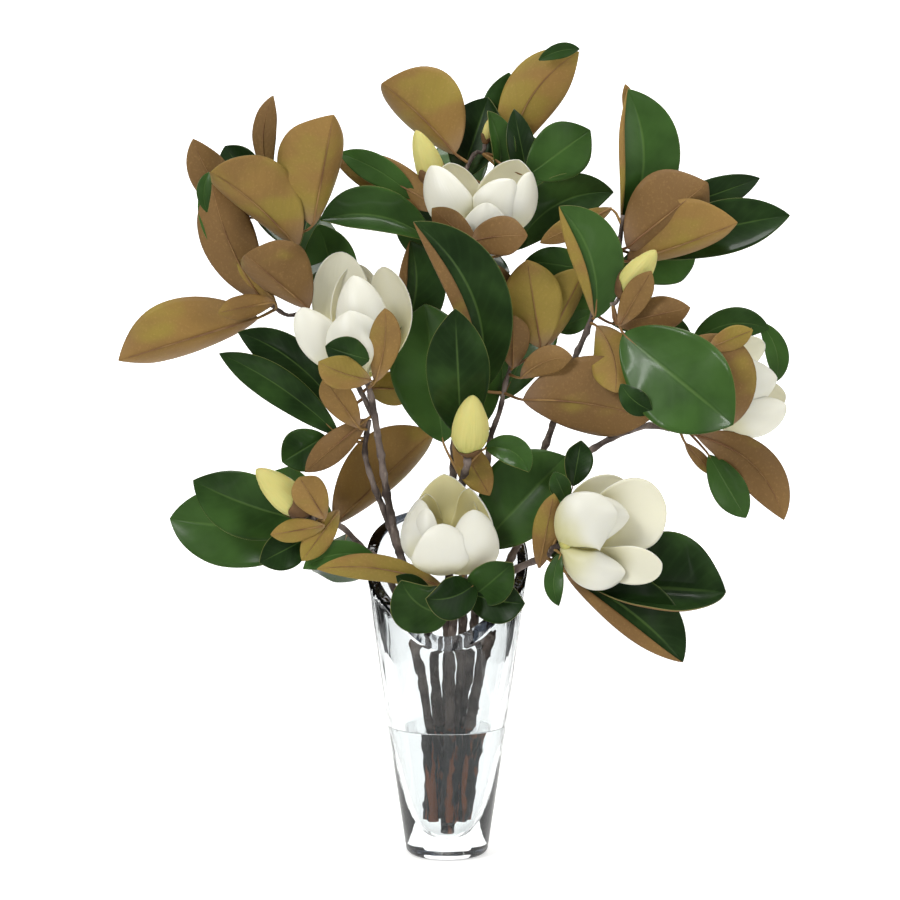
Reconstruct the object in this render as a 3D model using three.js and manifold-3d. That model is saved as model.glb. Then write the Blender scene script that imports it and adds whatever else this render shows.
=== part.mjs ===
// Magnolia branches in a glass vase, in millimetres, +Z up, standing on z = 0 round the z axis.
// Eight cut branches with leathery leaves, five open blooms and five buds stand in a thick
// clear vase that is partly filled with water.
import * as THREE from "three";
import { mergeVertices } from "three/addons/utils/BufferGeometryUtils.js";
import Module from "manifold-3d";

const wasm = await Module();
wasm.setup();

// ---- driving sizes -------------------------------------------------------------------------
const VASE = {
  footRadius: 34, // flat rest face
  footRound: 8, // rounded edge of the foot
  bodyRadius: 40.6, // outer radius that the taper starts from at z = 0
  taper: 0.1535, // growth of the radius with height
  easing: 0.00005, // slowing of that growth with the square of the height
  floor: 20, // lowest point of the hollow
  turnedHeight: 360, // to which the wall is turned before its mouth is cut
  sides: 32,
};
const CUT_MARGIN = 20; // by which a cutting solid reaches past what it cuts
// The hollow's radius at some heights, from its round bottom to above the rim.
const HOLLOW = [
  [11, 23],
  [18.5, 32],
  [24.5, 47],
  [30, 69],
  [35.5, 95],
  [44.5, 130],
  [59, 205],
  [68, 270],
  [76.5, 350],
];
// The mouth is cut along this curve, seen from the side: distance behind the axis, height.
const MOUTH = [
  [-110, 150],
  [-71.5, 216],
  [-56, 246],
  [-40, 265],
  [0, 294],
  [40, 322],
  [90, 343],
  [120, 348],
];
const WATER = { level: 130, floorGap: 0.6, sideGap: 0.42, slopeGap: 0.3, stemGap: 0.5 };
const BLADE_THICKNESS = 0.8;
const PETIOLE = { halfWidth: 1.3, thickness: 2.6 };
const SEAT_GAP = 0.3; // between a twig's end and the bloom or bud that sits on it

// ---- places --------------------------------------------------------------------------------
// Places above the rim are read on an upright sheet, square to the line of sight from EYE, and
// carried along that line to their distance y behind the vase's axis. So a change of y alone
// leaves the arrangement's front outline as it is.
const EYE = new THREE.Vector3(3, -3500, 790);
const SHEET_CENTRE = new THREE.Vector3(3, 0, 410);
const SHEET_UP = new THREE.Vector3(1, 0, 0).cross(
  SHEET_CENTRE.clone().sub(EYE).normalize(),
);

function seen([x, z, y]) {
  const onSheet = SHEET_CENTRE.clone()
    .add(new THREE.Vector3(x - SHEET_CENTRE.x, 0, 0))
    .addScaledVector(SHEET_UP, z - SHEET_CENTRE.z);
  const share = (y - EYE.y) / (onSheet.y - EYE.y);
  return EYE.clone().add(onSheet.sub(EYE).multiplyScalar(share));
}

// ---- the branches --------------------------------------------------------------------------
// foot: real places inside the vase, [x, y, z]. Every other place is a seen one, [x, z, y].
// twigs: each has a path and its first and last radius; the first twig starts from the foot.
// leaves: [base, tip, width, roll, [left cup, right cup], sweep].
//   roll 0 turns the green side forward and 180 the brown one, in degrees
//   a cup is how far that side of the blade curls toward its green face, in degrees
//   sweep is the sideways bulge of the midrib, as a share of its length, right when positive
const BRANCHES = [
  {
    name: "left_branch",
    foot: [[-13, 3, 38], [-10, 5, 130], [-17, 8, 215]],
    twigs: [
      { path: [[-45, 300, 2], [-57, 350, -2], [-67, 410, -5], [-75, 460, -8]], from: 5, to: 3 },
      { path: [[-46, 302, 2], [-55, 328, 6], [-64, 352, 5], [-75, 380, 2], [-82, 408, 0], [-78, 440, -6]],
        from: 3.6, to: 2.4 },
      { path: [[-72, 440, -6], [-95, 485, 8], [-125, 528, 22], [-142, 552, 26], [-147, 585, 26],
        [-150, 612, 24]], from: 2.8, to: 2 },
      { path: [[-140, 548, 26], [-160, 545, 24], [-178, 557, 20]], from: 2.2, to: 1.7 },
      { path: [[-148, 595, 25], [-164, 632, 30], [-176, 656, 40]], from: 1.9, to: 1.5 },
    ],
    leaves: [
      [[-189, 542, 20], [-329, 499, 0], 88, 180, [100, 20], 0],
      [[-185, 560, 20], [-235, 676, 4], 58, 180, [25, 25], -0.06],
      [[-204, 590, 32], [-239, 685, 24], 30, 10, [10, 10], -0.1],
      [[-150, 612, 12], [-237, 689, -34], 92, 180, [105, 12], 0.04],
      [[-134, 634, 12], [-114, 744, -26], 92, 180, [15, 88], 0],
      [[-178, 680, 36], [-175, 765, 28], 27, 160, [20, 20], -0.1],
      [[-198, 642, 32], [-254, 721, 20], 42, 180, [20, 20], -0.08],
      [[-186, 662, 48], [-222, 714, 56], 44, 0, [30, 30], 0],
      [[-138, 551, 2], [-201, 605, -35], 84, 180, [95, 15], 0],
      [[-172, 558, 12], [-229, 547, -5], 26, 165, [10, 30], 0],
      [[-118, 537, 54], [-129, 636, 60], 58, 0, [25, 25], 0.08],
      [[-109, 425, 0], [-228, 507, -5], 39, 0, [25, 25], 0.05],
      [[-107, 447, 8], [-210, 529, 2], 46, 0, [25, 25], 0.09],
      [[-88, 432, -18], [-124, 482, -54], 32, 180, [20, 20], 0],
      [[-76, 484, -54], [-127, 503, -96], 34, 180, [15, 15], -0.04],
      [[-72, 478, -46], [-62, 551, -84], 32, 180, [20, 20], 0.05],
      [[-80, 472, 0], [-30, 470, 8], 36, 180, [20, 20], 0],
      [[-122, 424, 0], [-165, 398, -8], 46, 0, [25, 25], 0],
      [[-80, 441, -10], [-142, 388, -25], 30, 180, [20, 20], 0],
      [[-54, 515, 38], [-41, 620, 40], 56, 10, [90, 20], 0.15],
      [[-150, 610, 34], [-175, 682, 120], 60, 0, [25, 25], 0],
      [[-147, 580, 34], [-125, 640, 115], 56, 0, [25, 25], 0],
    ],
  },
  {
    name: "low_left_branch",
    foot: [[-10.5, -8.5, 38], [-17, -12, 130], [-33, -14, 215]],
    twigs: [
      { path: [[-69, 301, -12], [-82, 310, -10], [-92, 320, -8], [-105, 333, -8], [-120, 338, -14]],
        from: 4.6, to: 2.6 },
    ],
    leaves: [
      [[-135, 325, 20], [-278, 341, 30], 84, 0, [20, 20], 0],
      [[-130, 338, 6], [-254, 380, 0], 68, 0, [20, 25], -0.04],
      [[-122, 341, -48], [-148, 383, -70], 36, 180, [20, 30], 0],
      [[-122, 334, -40], [-176, 325, -58], 24, 180, [20, 20], 0],
      [[-136, 324, -24], [-188, 297, -44], 40, 0, [25, 25], 0],
      [[-108, 350, -32], [-145, 299, -50], 28, 180, [15, 15], 0],
      [[-112, 336, 34], [-14, 428, 30], 88, 180, [15, 100], 0],
      [[-70, 300, -22], [-144, 291, -38], 28, 10, [10, 10], 0.14],
      [[-112, 334, 14], [-180, 380, 110], 62, 0, [25, 25], 0],
      [[-100, 326, 14], [-112, 282, 98], 56, 0, [25, 25], 0],
    ],
  },
  {
    name: "middle_branch",
    foot: [[0, 0, 24], [8, -2, 130], [15, -4, 215]],
    twigs: [{ path: [[16, 290, -6], [14, 340, -10], [15, 378, -22]], from: 5, to: 3.4 }],
    leaves: [
      [[-4, 418, 6], [-22, 556, 18], 90, 0, [25, 25], 0],
      [[14, 424, -12], [8, 553, -60], 65, 0, [20, 20], 0],
      [[8, 424, -40], [43, 364, -34], 33, 180, [15, 15], 0],
      [[38, 412, -44], [82, 388, -60], 32, 0, [20, 50], -0.2],
    ],
  },
  {
    name: "front_branch",
    foot: [[0, -13.5, 38], [2, -15, 130], [4, -22, 215]],
    twigs: [{ path: [[8, 250, -34], [10, 270, -44]], from: 4.8, to: 3.6 }],
    leaves: [
      [[34, 314, -14], [120, 405, -24], 92, -10, [5, 50], 0],
      [[20, 268, -62], [79, 257, -90], 46, 0, [20, 20], 0.04],
      [[24, 262, -60], [66, 297, -100], 46, 0, [30, 30], 0],
      [[28, 276, -72], [-23, 262, -104], 46, 0, [30, 30], -0.1],
      [[2, 246, -62], [-46, 281, -92], 60, 0, [30, 30], -0.14],
      [[-14, 262, -60], [-51, 284, -74], 22, 10, [10, 10], 0],
      [[-3, 272, -58], [-130, 291, -56], 28, 180, [20, 20], 0.07],
    ],
  },
  {
    name: "low_right_branch",
    foot: [[10.6, -8.3, 38], [22, -10, 130], [40, -16, 215]],
    twigs: [
      { path: [[56, 272, -26], [64, 287, -32], [73, 293, -38], [85, 298, -45], [98, 304, -52]],
        from: 4.6, to: 3 },
    ],
    leaves: [
      [[92, 292, -58], [107, 366, -78], 28, 180, [15, 15], 0],
      [[114, 306, -72], [112, 254, -88], 20, 0, [20, 20], 0.12],
      [[126, 374, -36], [134, 420, -30], 32, 0, [50, 20], 0],
      [[120, 358, -60], [107, 388, -64], 22, 0, [20, 20], 0],
      [[143, 278, -44], [279, 268, -58], 116, 0, [12, 112], 0],
      [[136, 276, -56], [237, 198, -76], 58, 0, [20, 20], -0.08],
      [[118, 288, -60], [225, 205, -88], 27, 180, [15, 15], -0.07],
      [[100, 306, -42], [165, 345, 45], 60, 0, [25, 25], 0],
      [[104, 300, -42], [195, 305, 20], 58, 0, [25, 25], 0],
    ],
  },
  {
    name: "right_top_branch",
    foot: [[5.7, 12.2, 38], [16, 16, 130], [26, 18, 215]],
    twigs: [
      { path: [[36, 300, 16], [70, 362, 18], [96, 409, 18], [109, 445, 16], [128, 502, 12], [138, 525, 10],
        [150, 553, 8], [168, 582, 10], [173, 620, 14], [176, 645, 16]], from: 5, to: 2.2 },
      { path: [[37, 304, 16], [40, 360, 12], [43, 420, 10], [53, 450, 8], [58, 475, 6], [66, 500, 4]],
        from: 3.8, to: 2 },
    ],
    leaves: [
      [[94, 512, -4], [80, 600, -8], 60, 180, [20, 20], 0],
      [[98, 512, 2], [139, 593, 8], 60, 180, [20, 100], 0],
      [[66, 492, -4], [67, 545, -14], 34, 180, [20, 20], 0],
      [[74, 482, -10], [125, 503, -26], 30, 180, [20, 20], -0.1],
      [[76, 460, -10], [204, 441, -44], 90, 180, [12, 32], -0.05],
      [[150, 534, -6], [168, 467, -50], 50, 180, [20, 30], -0.1],
      [[148, 542, 0], [111, 655, -24], 60, 0, [115, 20], 0.13],
      [[172, 534, -22], [204, 588, -50], 28, 180, [15, 15], 0],
      [[168, 536, -14], [243, 552, -38], 36, 180, [15, 15], 0],
      [[176, 630, 32], [186, 764, 30], 70, 0, [88, 18], 0.13],
      [[180, 612, 6], [261, 677, -8], 88, 180, [20, 60], 0],
      [[180, 598, 14], [290, 637, -20], 88, 180, [12, 112], 0.02],
      [[200, 642, 40], [313, 682, 52], 34, 0, [10, 10], 0],
      [[192, 606, 46], [343, 645, 42], 58, 0, [15, 40], -0.03],
      [[165, 652, 14], [93, 617, 10], 24, 180, [10, 10], 0],
      [[150, 590, 18], [78, 600, 24], 36, 0, [10, 10], 0],
      [[148, 548, 26], [108, 530, 32], 24, 0, [10, 10], 0],
      [[150, 552, 28], [118, 580, 34], 36, 0, [10, 10], 0],
      [[165, 536, 8], [246, 519, 6], 34, 0, [10, 10], -0.1],
      [[176, 526, -26], [288, 434, -80], 98, 0, [16, 16], 0],
      [[34, 470, 4], [-35, 640, -56], 72, 0, [110, 25], 0.12],
      [[64, 536, 12], [33, 596, 4], 32, 180, [15, 15], 0.1],
      [[36, 436, 18], [25, 535, 18], 52, 0, [20, 20], 0],
      [[168, 590, 24], [250, 610, 110], 56, 0, [25, 25], 0],
      [[55, 460, 14], [100, 560, 95], 56, 0, [25, 25], 0],
    ],
  },
  {
    name: "right_branch",
    foot: [[13.2, 3, 38], [24, 4, 130], [38, 4, 215]],
    twigs: [
      { path: [[62, 298, 0], [92, 350, -4], [118, 390, -8], [138, 406, -10], [165, 422, -12],
        [200, 434, -8], [232, 432, -4], [244, 442, 0]], from: 4.6, to: 2.6 },
    ],
    leaves: [
      [[245, 516, 52], [322, 531, 60], 34, 0, [10, 10], -0.16],
      [[312, 538, 60], [329, 478, 60], 24, 0, [10, 10], -0.14],
      [[276, 432, -46], [243, 521, -36], 72, 180, [15, 15], 0.17],
      [[250, 424, -14], [337, 340, -28], 46, 180, [20, 20], -0.15],
      [[262, 405, -6], [299, 342, -12], 36, 0, [20, 20], 0],
      [[246, 426, 12], [235, 480, 110], 60, 0, [25, 25], 0],
    ],
  },
  {
    name: "back_branch",
    foot: [[-5.9, 12.1, 38], [-2, 20, 130], [0, 28, 215]],
    twigs: [
      { path: [[4, 330, 42], [10, 450, 46], [22, 540, 42], [32, 590, 36]], from: 5, to: 3 },
      { path: [[24, 552, 42], [20, 640, 58], [16, 680, 62], [30, 708, 62]], from: 2.8, to: 2 },
      { path: [[20, 620, 56], [4, 650, 50]], from: 2.2, to: 2 },
    ],
    leaves: [
      [[-5, 648, 26], [-113, 699, 46], 42, 180, [30, 15], 0.05],
      [[-30, 660, 38], [-108, 707, 48], 30, 0, [10, 10], 0.06],
      [[-17, 620, 36], [-127, 640, 38], 60, 0, [90, 15], 0.13],
      [[8, 706, 58], [-65, 777, 50], 100, 180, [105, 10], 0.03],
      [[14, 682, 80], [41, 763, 80], 60, 0, [20, 40], 0],
      [[46, 700, 86], [62, 788, 84], 44, 0, [20, 20], 0],
      [[63, 703, 70], [132, 808, 56], 56, 180, [15, 30], -0.14],
      [[50, 674, 66], [40, 750, 60], 34, 0, [90, 20], 0.1],
      [[84, 664, 60], [67, 751, 60], 30, 0, [20, 20], 0],
      [[80, 684, 40], [143, 730, 54], 58, 0, [10, 10], 0],
      [[68, 610, 58], [167, 668, 50], 56, 0, [20, 20], -0.16],
      [[30, 612, -26], [-15, 652, -50], 28, 180, [10, 10], 0],
      [[22, 618, -28], [80, 624, -50], 40, 180, [10, 10], -0.04],
      [[20, 660, 64], [10, 720, 145], 62, 0, [25, 25], 0],
      [[40, 672, 74], [104, 706, 140], 62, 0, [25, 25], 0],
      [[20, 620, 62], [-50, 640, 135], 60, 0, [25, 25], 0],
      [[22, 560, 48], [40, 610, 130], 60, 0, [25, 25], 0],
      [[12, 470, 52], [-10, 530, 125], 56, 0, [25, 25], 0],
    ],
  },
];

// ---- blooms and buds -----------------------------------------------------------------------
// petals: [tip, width, roll, cup, bulge, sweep, widest]; each petal grows from its bloom's seat.
//   roll 0 turns the inner side forward and 180 the outer one, in degrees
//   a cup is how far each side of the petal curls toward its inner face, in degrees
//   bulge and sweep bow its midline outward and rightward, as shares of its length
//   widest is the share of its length at which it is widest
const BLOOMS = [
  {
    name: "front_bloom", on: "front_branch", base: [2, 287, -52], axis: [0, -0.3, 0.95],
    petals: [
      [[-8, 334, -86], 116, 180, 82, 0.5, 0.06, 0.55],
      [[30, 348, -58], 76, 236, 70, 0.4, 0.02, 0.55],
      [[-28, 361, -46], 84, 106, 62, 0.4, -0.06, 0.55],
      [[-3, 386, -34], 76, 0, 55, 0.3, 0, 0.58],
      [[22, 372, -40], 72, 312, 55, 0.32, 0.04, 0.55],
      [[-20, 366, -30], 70, 52, 55, 0.32, -0.04, 0.55],
      [[-21, 352, -62], 34, 150, 50, 0.25, -0.05, 0.6],
    ],
  },
  {
    name: "low_right_bloom", on: "low_right_branch", base: [114, 315, -66], axis: [0.8, -0.46, 0.38],
    petals: [
      [[171, 343, -92], 88, 180, 85, 0.38, -0.09, 0.5],
      [[177, 350, -66], 62, 150, 66, 0.3, -0.06, 0.52],
      [[181, 377, -44], 56, 10, 46, 0.12, -0.1, 0.62],
      [[219, 354, -58], 78, 0, 38, 0.08, -0.04, 0.72],
      [[215, 296, -88], 42, 10, 35, 0.12, 0.1, 0.72],
      [[178, 288, -76], 48, 190, 60, 0.22, 0.14, 0.6],
    ],
  },
  {
    name: "left_bloom", on: "left_branch", base: [-80, 482, -14], axis: [-0.16, -0.14, 0.96],
    petals: [
      [[-94, 584, -24], 70, 180, 75, 0.22, 0.03, 0.6],
      [[-105, 608, 24], 66, 0, 42, 0.12, -0.08, 0.62],
      [[-65, 593, 10], 66, 320, 50, 0.16, 0.1, 0.6],
      [[-98, 549, -52], 72, 180, 66, 0.36, -0.02, 0.76],
      [[-146, 553, -34], 62, 200, 62, 0.2, -0.14, 0.6],
      [[-90, 596, 30], 66, 20, 50, 0.2, 0, 0.6],
    ],
  },
  {
    name: "top_bloom", on: "back_branch", base: [38, 622, 20], axis: [-0.02, -0.26, 0.95],
    petals: [
      [[-16, 694, 6], 64, 150, 62, 0.26, -0.04, 0.58],
      [[2, 697, 34], 68, 28, 50, 0.24, -0.06, 0.6],
      [[72, 700, 38], 72, 340, 50, 0.24, 0.02, 0.6],
      [[66, 680, -6], 66, 196, 62, 0.3, -0.06, 0.6],
      [[84, 688, 10], 58, 236, 60, 0.26, 0.06, 0.58],
      [[40, 657, -24], 64, 180, 70, 0.42, 0, 0.58],
    ],
  },
  {
    name: "right_bloom", on: "right_branch", base: [256, 454, 10], axis: [0.95, -0.1, 0.28],
    petals: [
      [[330, 482, -4], 74, 180, 70, 0.26, -0.06, 0.58],
      [[318, 516, 30], 44, 10, 45, 0.16, -0.12, 0.6],
      [[339, 464, 26], 52, 0, 50, 0.16, 0, 0.6],
      [[339, 455, -10], 52, 185, 60, 0.24, 0.12, 0.6],
      [[322, 480, 40], 60, 0, 50, 0.2, 0, 0.6],
    ],
  },
];
// A bud ends the twig of that number, or a twig of its own that starts at from.
const BUDS = [
  { name: "top_bud", on: "back_branch", twig: 2, base: [-8, 668, 44], tip: [-31, 730, 36],
    radius: 14 },
  { name: "small_top_bud", on: "back_branch", twig: 1, base: [38, 716, 62], tip: [43, 742, 62],
    radius: 5 },
  { name: "right_top_bud", on: "right_top_branch", from: [160, 566, 8], base: [172, 562, -14],
    tip: [209, 610, -30], radius: 14 },
  { name: "middle_bud", on: "middle_branch", twig: 0, base: [21, 404, -50], tip: [24, 465, -64],
    radius: 17 },
  { name: "low_left_bud", on: "low_left_branch", twig: 0, base: [-138, 345, -30], tip: [-191, 391, -44],
    radius: 15 },
];

// ---- materials -----------------------------------------------------------------------------
function finish(colour, roughness, options = {}) {
  return new THREE.MeshStandardMaterial({ color: colour, roughness, metalness: 0, ...options });
}
const CLEAR_GLASS = finish(0xeef3f2, 0.05, { transparent: true, opacity: 0.35 });
const CLEAR_WATER = finish(0xdfe8e8, 0.05, { transparent: true, opacity: 0.3 });
const LEAFY_WOOD = finish(0x4a5a2c, 0.45);
const PETAL = finish(0xecebdf, 0.6);
const BUD = finish(0xdede8c, 0.55);

// ---- solids --------------------------------------------------------------------------------
function solidFromGeometry(geometry) {
  const bare = geometry.index ? geometry.toNonIndexed() : geometry.clone();
  bare.deleteAttribute("normal");
  bare.deleteAttribute("uv");
  const merged = mergeVertices(bare, 1e-4);
  return new wasm.Manifold(
    new wasm.Mesh({
      numProp: 3,
      vertProperties: merged.attributes.position.array,
      triVerts: new Uint32Array(merged.index.array),
    }),
  );
}

function solidFromFaces(points, faces) {
  let enclosed = 0;
  for (const [a, b, c] of faces)
    enclosed += points[a].dot(new THREE.Vector3().crossVectors(points[b], points[c]));
  const facingOut = enclosed > 0 ? faces : faces.map(([a, b, c]) => [a, c, b]);
  return new wasm.Manifold(
    new wasm.Mesh({
      numProp: 3,
      vertProperties: new Float32Array(points.flatMap((p) => [p.x, p.y, p.z])),
      triVerts: new Uint32Array(facingOut.flat()),
    }),
  );
}

function meshFromSolid(name, solid, material) {
  const { numProp, vertProperties, triVerts } = solid.getMesh();
  if (numProp !== 3) throw new Error(name + " holds more than places");
  const geometry = new THREE.BufferGeometry()
    .setAttribute("position", new THREE.BufferAttribute(vertProperties, 3))
    .setIndex(new THREE.BufferAttribute(triVerts, 1));
  const mesh = new THREE.Mesh(geometry, material);
  mesh.name = name;
  return mesh;
}

function union(solids) {
  let joined = solids[0];
  for (const solid of solids.slice(1)) joined = joined.add(solid);
  return joined;
}

// The largest single body of a union, so that a loose scrap is dropped.
function oneBody(solid) {
  const bodies = solid.decompose();
  return bodies.reduce((best, body) => (body.volume() > best.volume() ? body : best));
}

// A closed tube through rings of points, with flat ends.
function loft(rings) {
  const count = rings[0].length;
  const last = (rings.length - 1) * count;
  const faces = [];
  for (let r = 0; r + 1 < rings.length; r++)
    for (let i = 0; i < count; i++) {
      const a = r * count + i;
      const b = r * count + ((i + 1) % count);
      faces.push([a, b, b + count], [a, b + count, a + count]);
    }
  for (let i = 1; i + 1 < count; i++) faces.push([0, i + 1, i], [last, last + i, last + i + 1]);
  return solidFromFaces(rings.flat(), faces);
}

// A thin closed plate between two like grids of points, split alike on both faces.
function plate(top, bottom) {
  const rows = top.length;
  const columns = top[0].length;
  const under = rows * columns;
  const at = (r, c) => r * columns + c;
  const faces = [];
  for (let r = 0; r + 1 < rows; r++)
    for (let c = 0; c + 1 < columns; c++) {
      const [a, b, d, e] = [at(r, c), at(r, c + 1), at(r + 1, c + 1), at(r + 1, c)];
      faces.push([a, b, d], [a, d, e]);
      faces.push([under + a, under + d, under + b], [under + a, under + e, under + d]);
    }
  const wall = (a, b) => faces.push([a, b, under + a], [b, under + b, under + a]);
  for (let r = 0; r + 1 < rows; r++) {
    wall(at(r, 0), at(r + 1, 0));
    wall(at(r + 1, columns - 1), at(r, columns - 1));
  }
  for (let c = 0; c + 1 < columns; c++) {
    wall(at(0, c + 1), at(0, c));
    wall(at(rows - 1, c), at(rows - 1, c + 1));
  }
  return solidFromFaces([...top.flat(), ...bottom.flat()], faces);
}

// ---- wood ----------------------------------------------------------------------------------
const STEM_STEP = 38;
const STEM_SIDES = 6;
const BARK = { unevenness: 0.06, turnAStep: 2.4 };
const END_MARGIN = 11; // of a twig, kept free of leaves under its bloom or bud
const ROOT_SPACING = 1.9;
const ROOTS_IN_A_RUN = 8;

// Evenly spaced places and cross directions along a smooth curve through the points.
function stemLine(points) {
  const curve = new THREE.CatmullRomCurve3(points, false, "centripetal");
  const steps = Math.max(2, Math.round(curve.getLength() / STEM_STEP));
  return { places: curve.getSpacedPoints(steps), ...curve.computeFrenetFrames(steps, false) };
}

// A tapering stem with slightly uneven bark, thicker by extra all round.
function stemSolid({ points, from, to }, extra = 0) {
  const { places, normals, binormals } = stemLine(points);
  const rings = places.map((centre, i) => {
    const radius =
      THREE.MathUtils.lerp(from, to, i / (places.length - 1)) *
        (1 + BARK.unevenness * Math.sin(i * BARK.turnAStep)) +
      extra;
    return Array.from({ length: STEM_SIDES }, (_, s) => {
      const angle = (2 * Math.PI * s) / STEM_SIDES;
      return centre.clone()
        .addScaledVector(normals[i], radius * Math.cos(angle))
        .addScaledVector(binormals[i], radius * Math.sin(angle));
    });
  });
  return loft(rings);
}

// The place inside the wood that is nearest to a leaf's base, a little short of the twigs' ends:
// leaves that crowd round an end are staggered by their order.
function leafRoot(twigs, base, order) {
  const margin = END_MARGIN + ROOT_SPACING * (order % ROOTS_IN_A_RUN);
  let best = null;
  for (const { points } of twigs) {
    const { places } = stemLine(points);
    for (let i = 0; i + 1 < places.length; i++) {
      const piece = new THREE.Line3(places[i], places[i + 1]);
      const furthest = i + 2 < places.length ? 1 : 1 - margin / piece.distance();
      const share = THREE.MathUtils.clamp(piece.closestPointToPointParameter(base, true), 0, furthest);
      const place = piece.at(share, new THREE.Vector3());
      if (!best || place.distanceTo(base) < best.distanceTo(base)) best = place;
    }
  }
  return best;
}

// ---- leaves --------------------------------------------------------------------------------
const TOWARD_EYE = new THREE.Vector3(0, -1, 0);
const radians = THREE.MathUtils.degToRad;

// Green-side direction of a blade whose midrib runs along tangent.
function bladeNormal(tangent, roll) {
  const normal = TOWARD_EYE.clone().addScaledVector(tangent, -TOWARD_EYE.dot(tangent));
  if (normal.lengthSq() < 1e-4) normal.set(0, 0, 1).addScaledVector(tangent, -tangent.z);
  return normal.normalize().applyAxisAngle(tangent, roll);
}

// Sideways and upward place, per unit of half-width, of a point at a share of one side. The
// crease is the share of the cup that is a fold at the midrib.
function cupPlace(share, cup, crease) {
  const start = crease * cup;
  const spread = (1 - crease) * cup;
  const angle = start + spread * share;
  return [(Math.sin(angle) - Math.sin(start)) / spread, (Math.cos(start) - Math.cos(angle)) / spread];
}

// A blade from stations along its midrib: {centre, side, normal, halfWidth, thickness, cups}.
function bladeSolid(stations, columnsASide, crease) {
  const top = [];
  const bottom = [];
  for (const { centre, side, normal, halfWidth, thickness, cups } of stations) {
    const topRow = [];
    const bottomRow = [];
    for (let c = -columnsASide; c <= columnsASide; c++) {
      const share = Math.abs(c) / columnsASide;
      const cup = c < 0 ? cups[0] : cups[1];
      const [across, up] = cupPlace(share, cup, crease);
      const place = centre.clone()
        .addScaledVector(side, Math.sign(c) * across * halfWidth)
        .addScaledVector(normal, up * halfWidth);
      const turn = c === 0 ? 0 : cup * (crease + (1 - crease) * share);
      const outward = normal.clone().multiplyScalar(Math.cos(turn))
        .addScaledVector(side, -Math.sign(c) * Math.sin(turn));
      topRow.push(place.clone().addScaledVector(outward, thickness / 2));
      bottomRow.push(place.clone().addScaledVector(outward, -thickness / 2));
    }
    top.push(topRow);
    bottom.push(bottomRow);
  }
  return plate(top, bottom);
}

// Outline of a blade: share of its length, share of its half-width.
const LEAF_OUTLINE = [[0.17, 0.6], [0.48, 1], [0.8, 0.74], [1, 0.06]];
const SMALL_LEAF_OUTLINE = [[0.3, 0.85], [0.68, 0.88], [1, 0.1]];
const SMALL_LEAF = 75;
const LEAF_CREASE = 0.35;
const FOLDED = radians(94); // a side that cups further has a second column
const LONG_PETIOLE = 24;

function leafSolid([baseSeen, tipSeen, width, rollDegrees, cupsDegrees, sweep], root) {
  const base = seen(baseSeen);
  const tip = seen(tipSeen);
  const length = base.distanceTo(tip);
  const roll = radians(rollDegrees);
  const brownForward = Math.cos(roll) < 0;
  const cups = cupsDegrees.map(radians);
  if (brownForward) cups.reverse();
  const along = tip.clone().sub(base).normalize();
  const rightSide = along.clone().cross(bladeNormal(along, 0));
  const middle = base.clone().lerp(tip, 0.5).addScaledVector(rightSide, 2 * sweep * length);
  const curve = new THREE.QuadraticBezierCurve3(base, middle, tip);
  const outline = length < SMALL_LEAF ? SMALL_LEAF_OUTLINE : LEAF_OUTLINE;
  const station = (t, centre, halfWidth, thickness) => {
    const tangent = curve.getTangent(t);
    const normal = bladeNormal(tangent, roll);
    return { centre, side: tangent.cross(normal), normal, halfWidth, thickness, cups };
  };
  const stations = [station(0, root, PETIOLE.halfWidth, PETIOLE.thickness)];
  if (root.distanceTo(base) > LONG_PETIOLE)
    stations.push(station(0, base, PETIOLE.halfWidth, PETIOLE.thickness / 2));
  for (const [t, share] of outline)
    stations.push(station(t, curve.getPoint(t), (share * width) / 2, BLADE_THICKNESS));
  return bladeSolid(stations, Math.max(...cups) > FOLDED ? 2 : 1, LEAF_CREASE);
}

// ---- blooms and buds -----------------------------------------------------------------------
// A frame whose z axis is the given direction and whose front is nearest to the viewer.
function flowerFrame(axis) {
  const up = axis.clone().normalize();
  const front = TOWARD_EYE.clone().addScaledVector(up, -TOWARD_EYE.dot(up));
  if (front.lengthSq() < 1e-4) front.set(0, 0, 1).addScaledVector(up, -up.z);
  front.normalize();
  return { up, front, right: front.clone().cross(up).negate() };
}

const PETAL_STATIONS = [0.03, 0.22, 0.5, 0.78, 1]; // shares of a petal's length
const PETAL_ENDS = 0.16; // half-width at root and tip, as a share of the greatest
const PETAL_ROOT = 3; // height of the petals' roots in the seat
const PETAL_THICKNESS = 1;
const FLOWER_SIDES = 10;
const SEAT = [[0, 0], [4, 0], [6.5, 4], [6, 9], [3, 14], [0, 15]]; // radius, height
// Radius and height of a bud, as shares of its greatest radius and of its height.
const BUD_PROFILE = [
  [0, 0], [0.22, 0], [0.62, 0.1], [0.95, 0.28], [1, 0.42], [0.86, 0.64], [0.52, 0.86], [0, 1],
];

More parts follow.
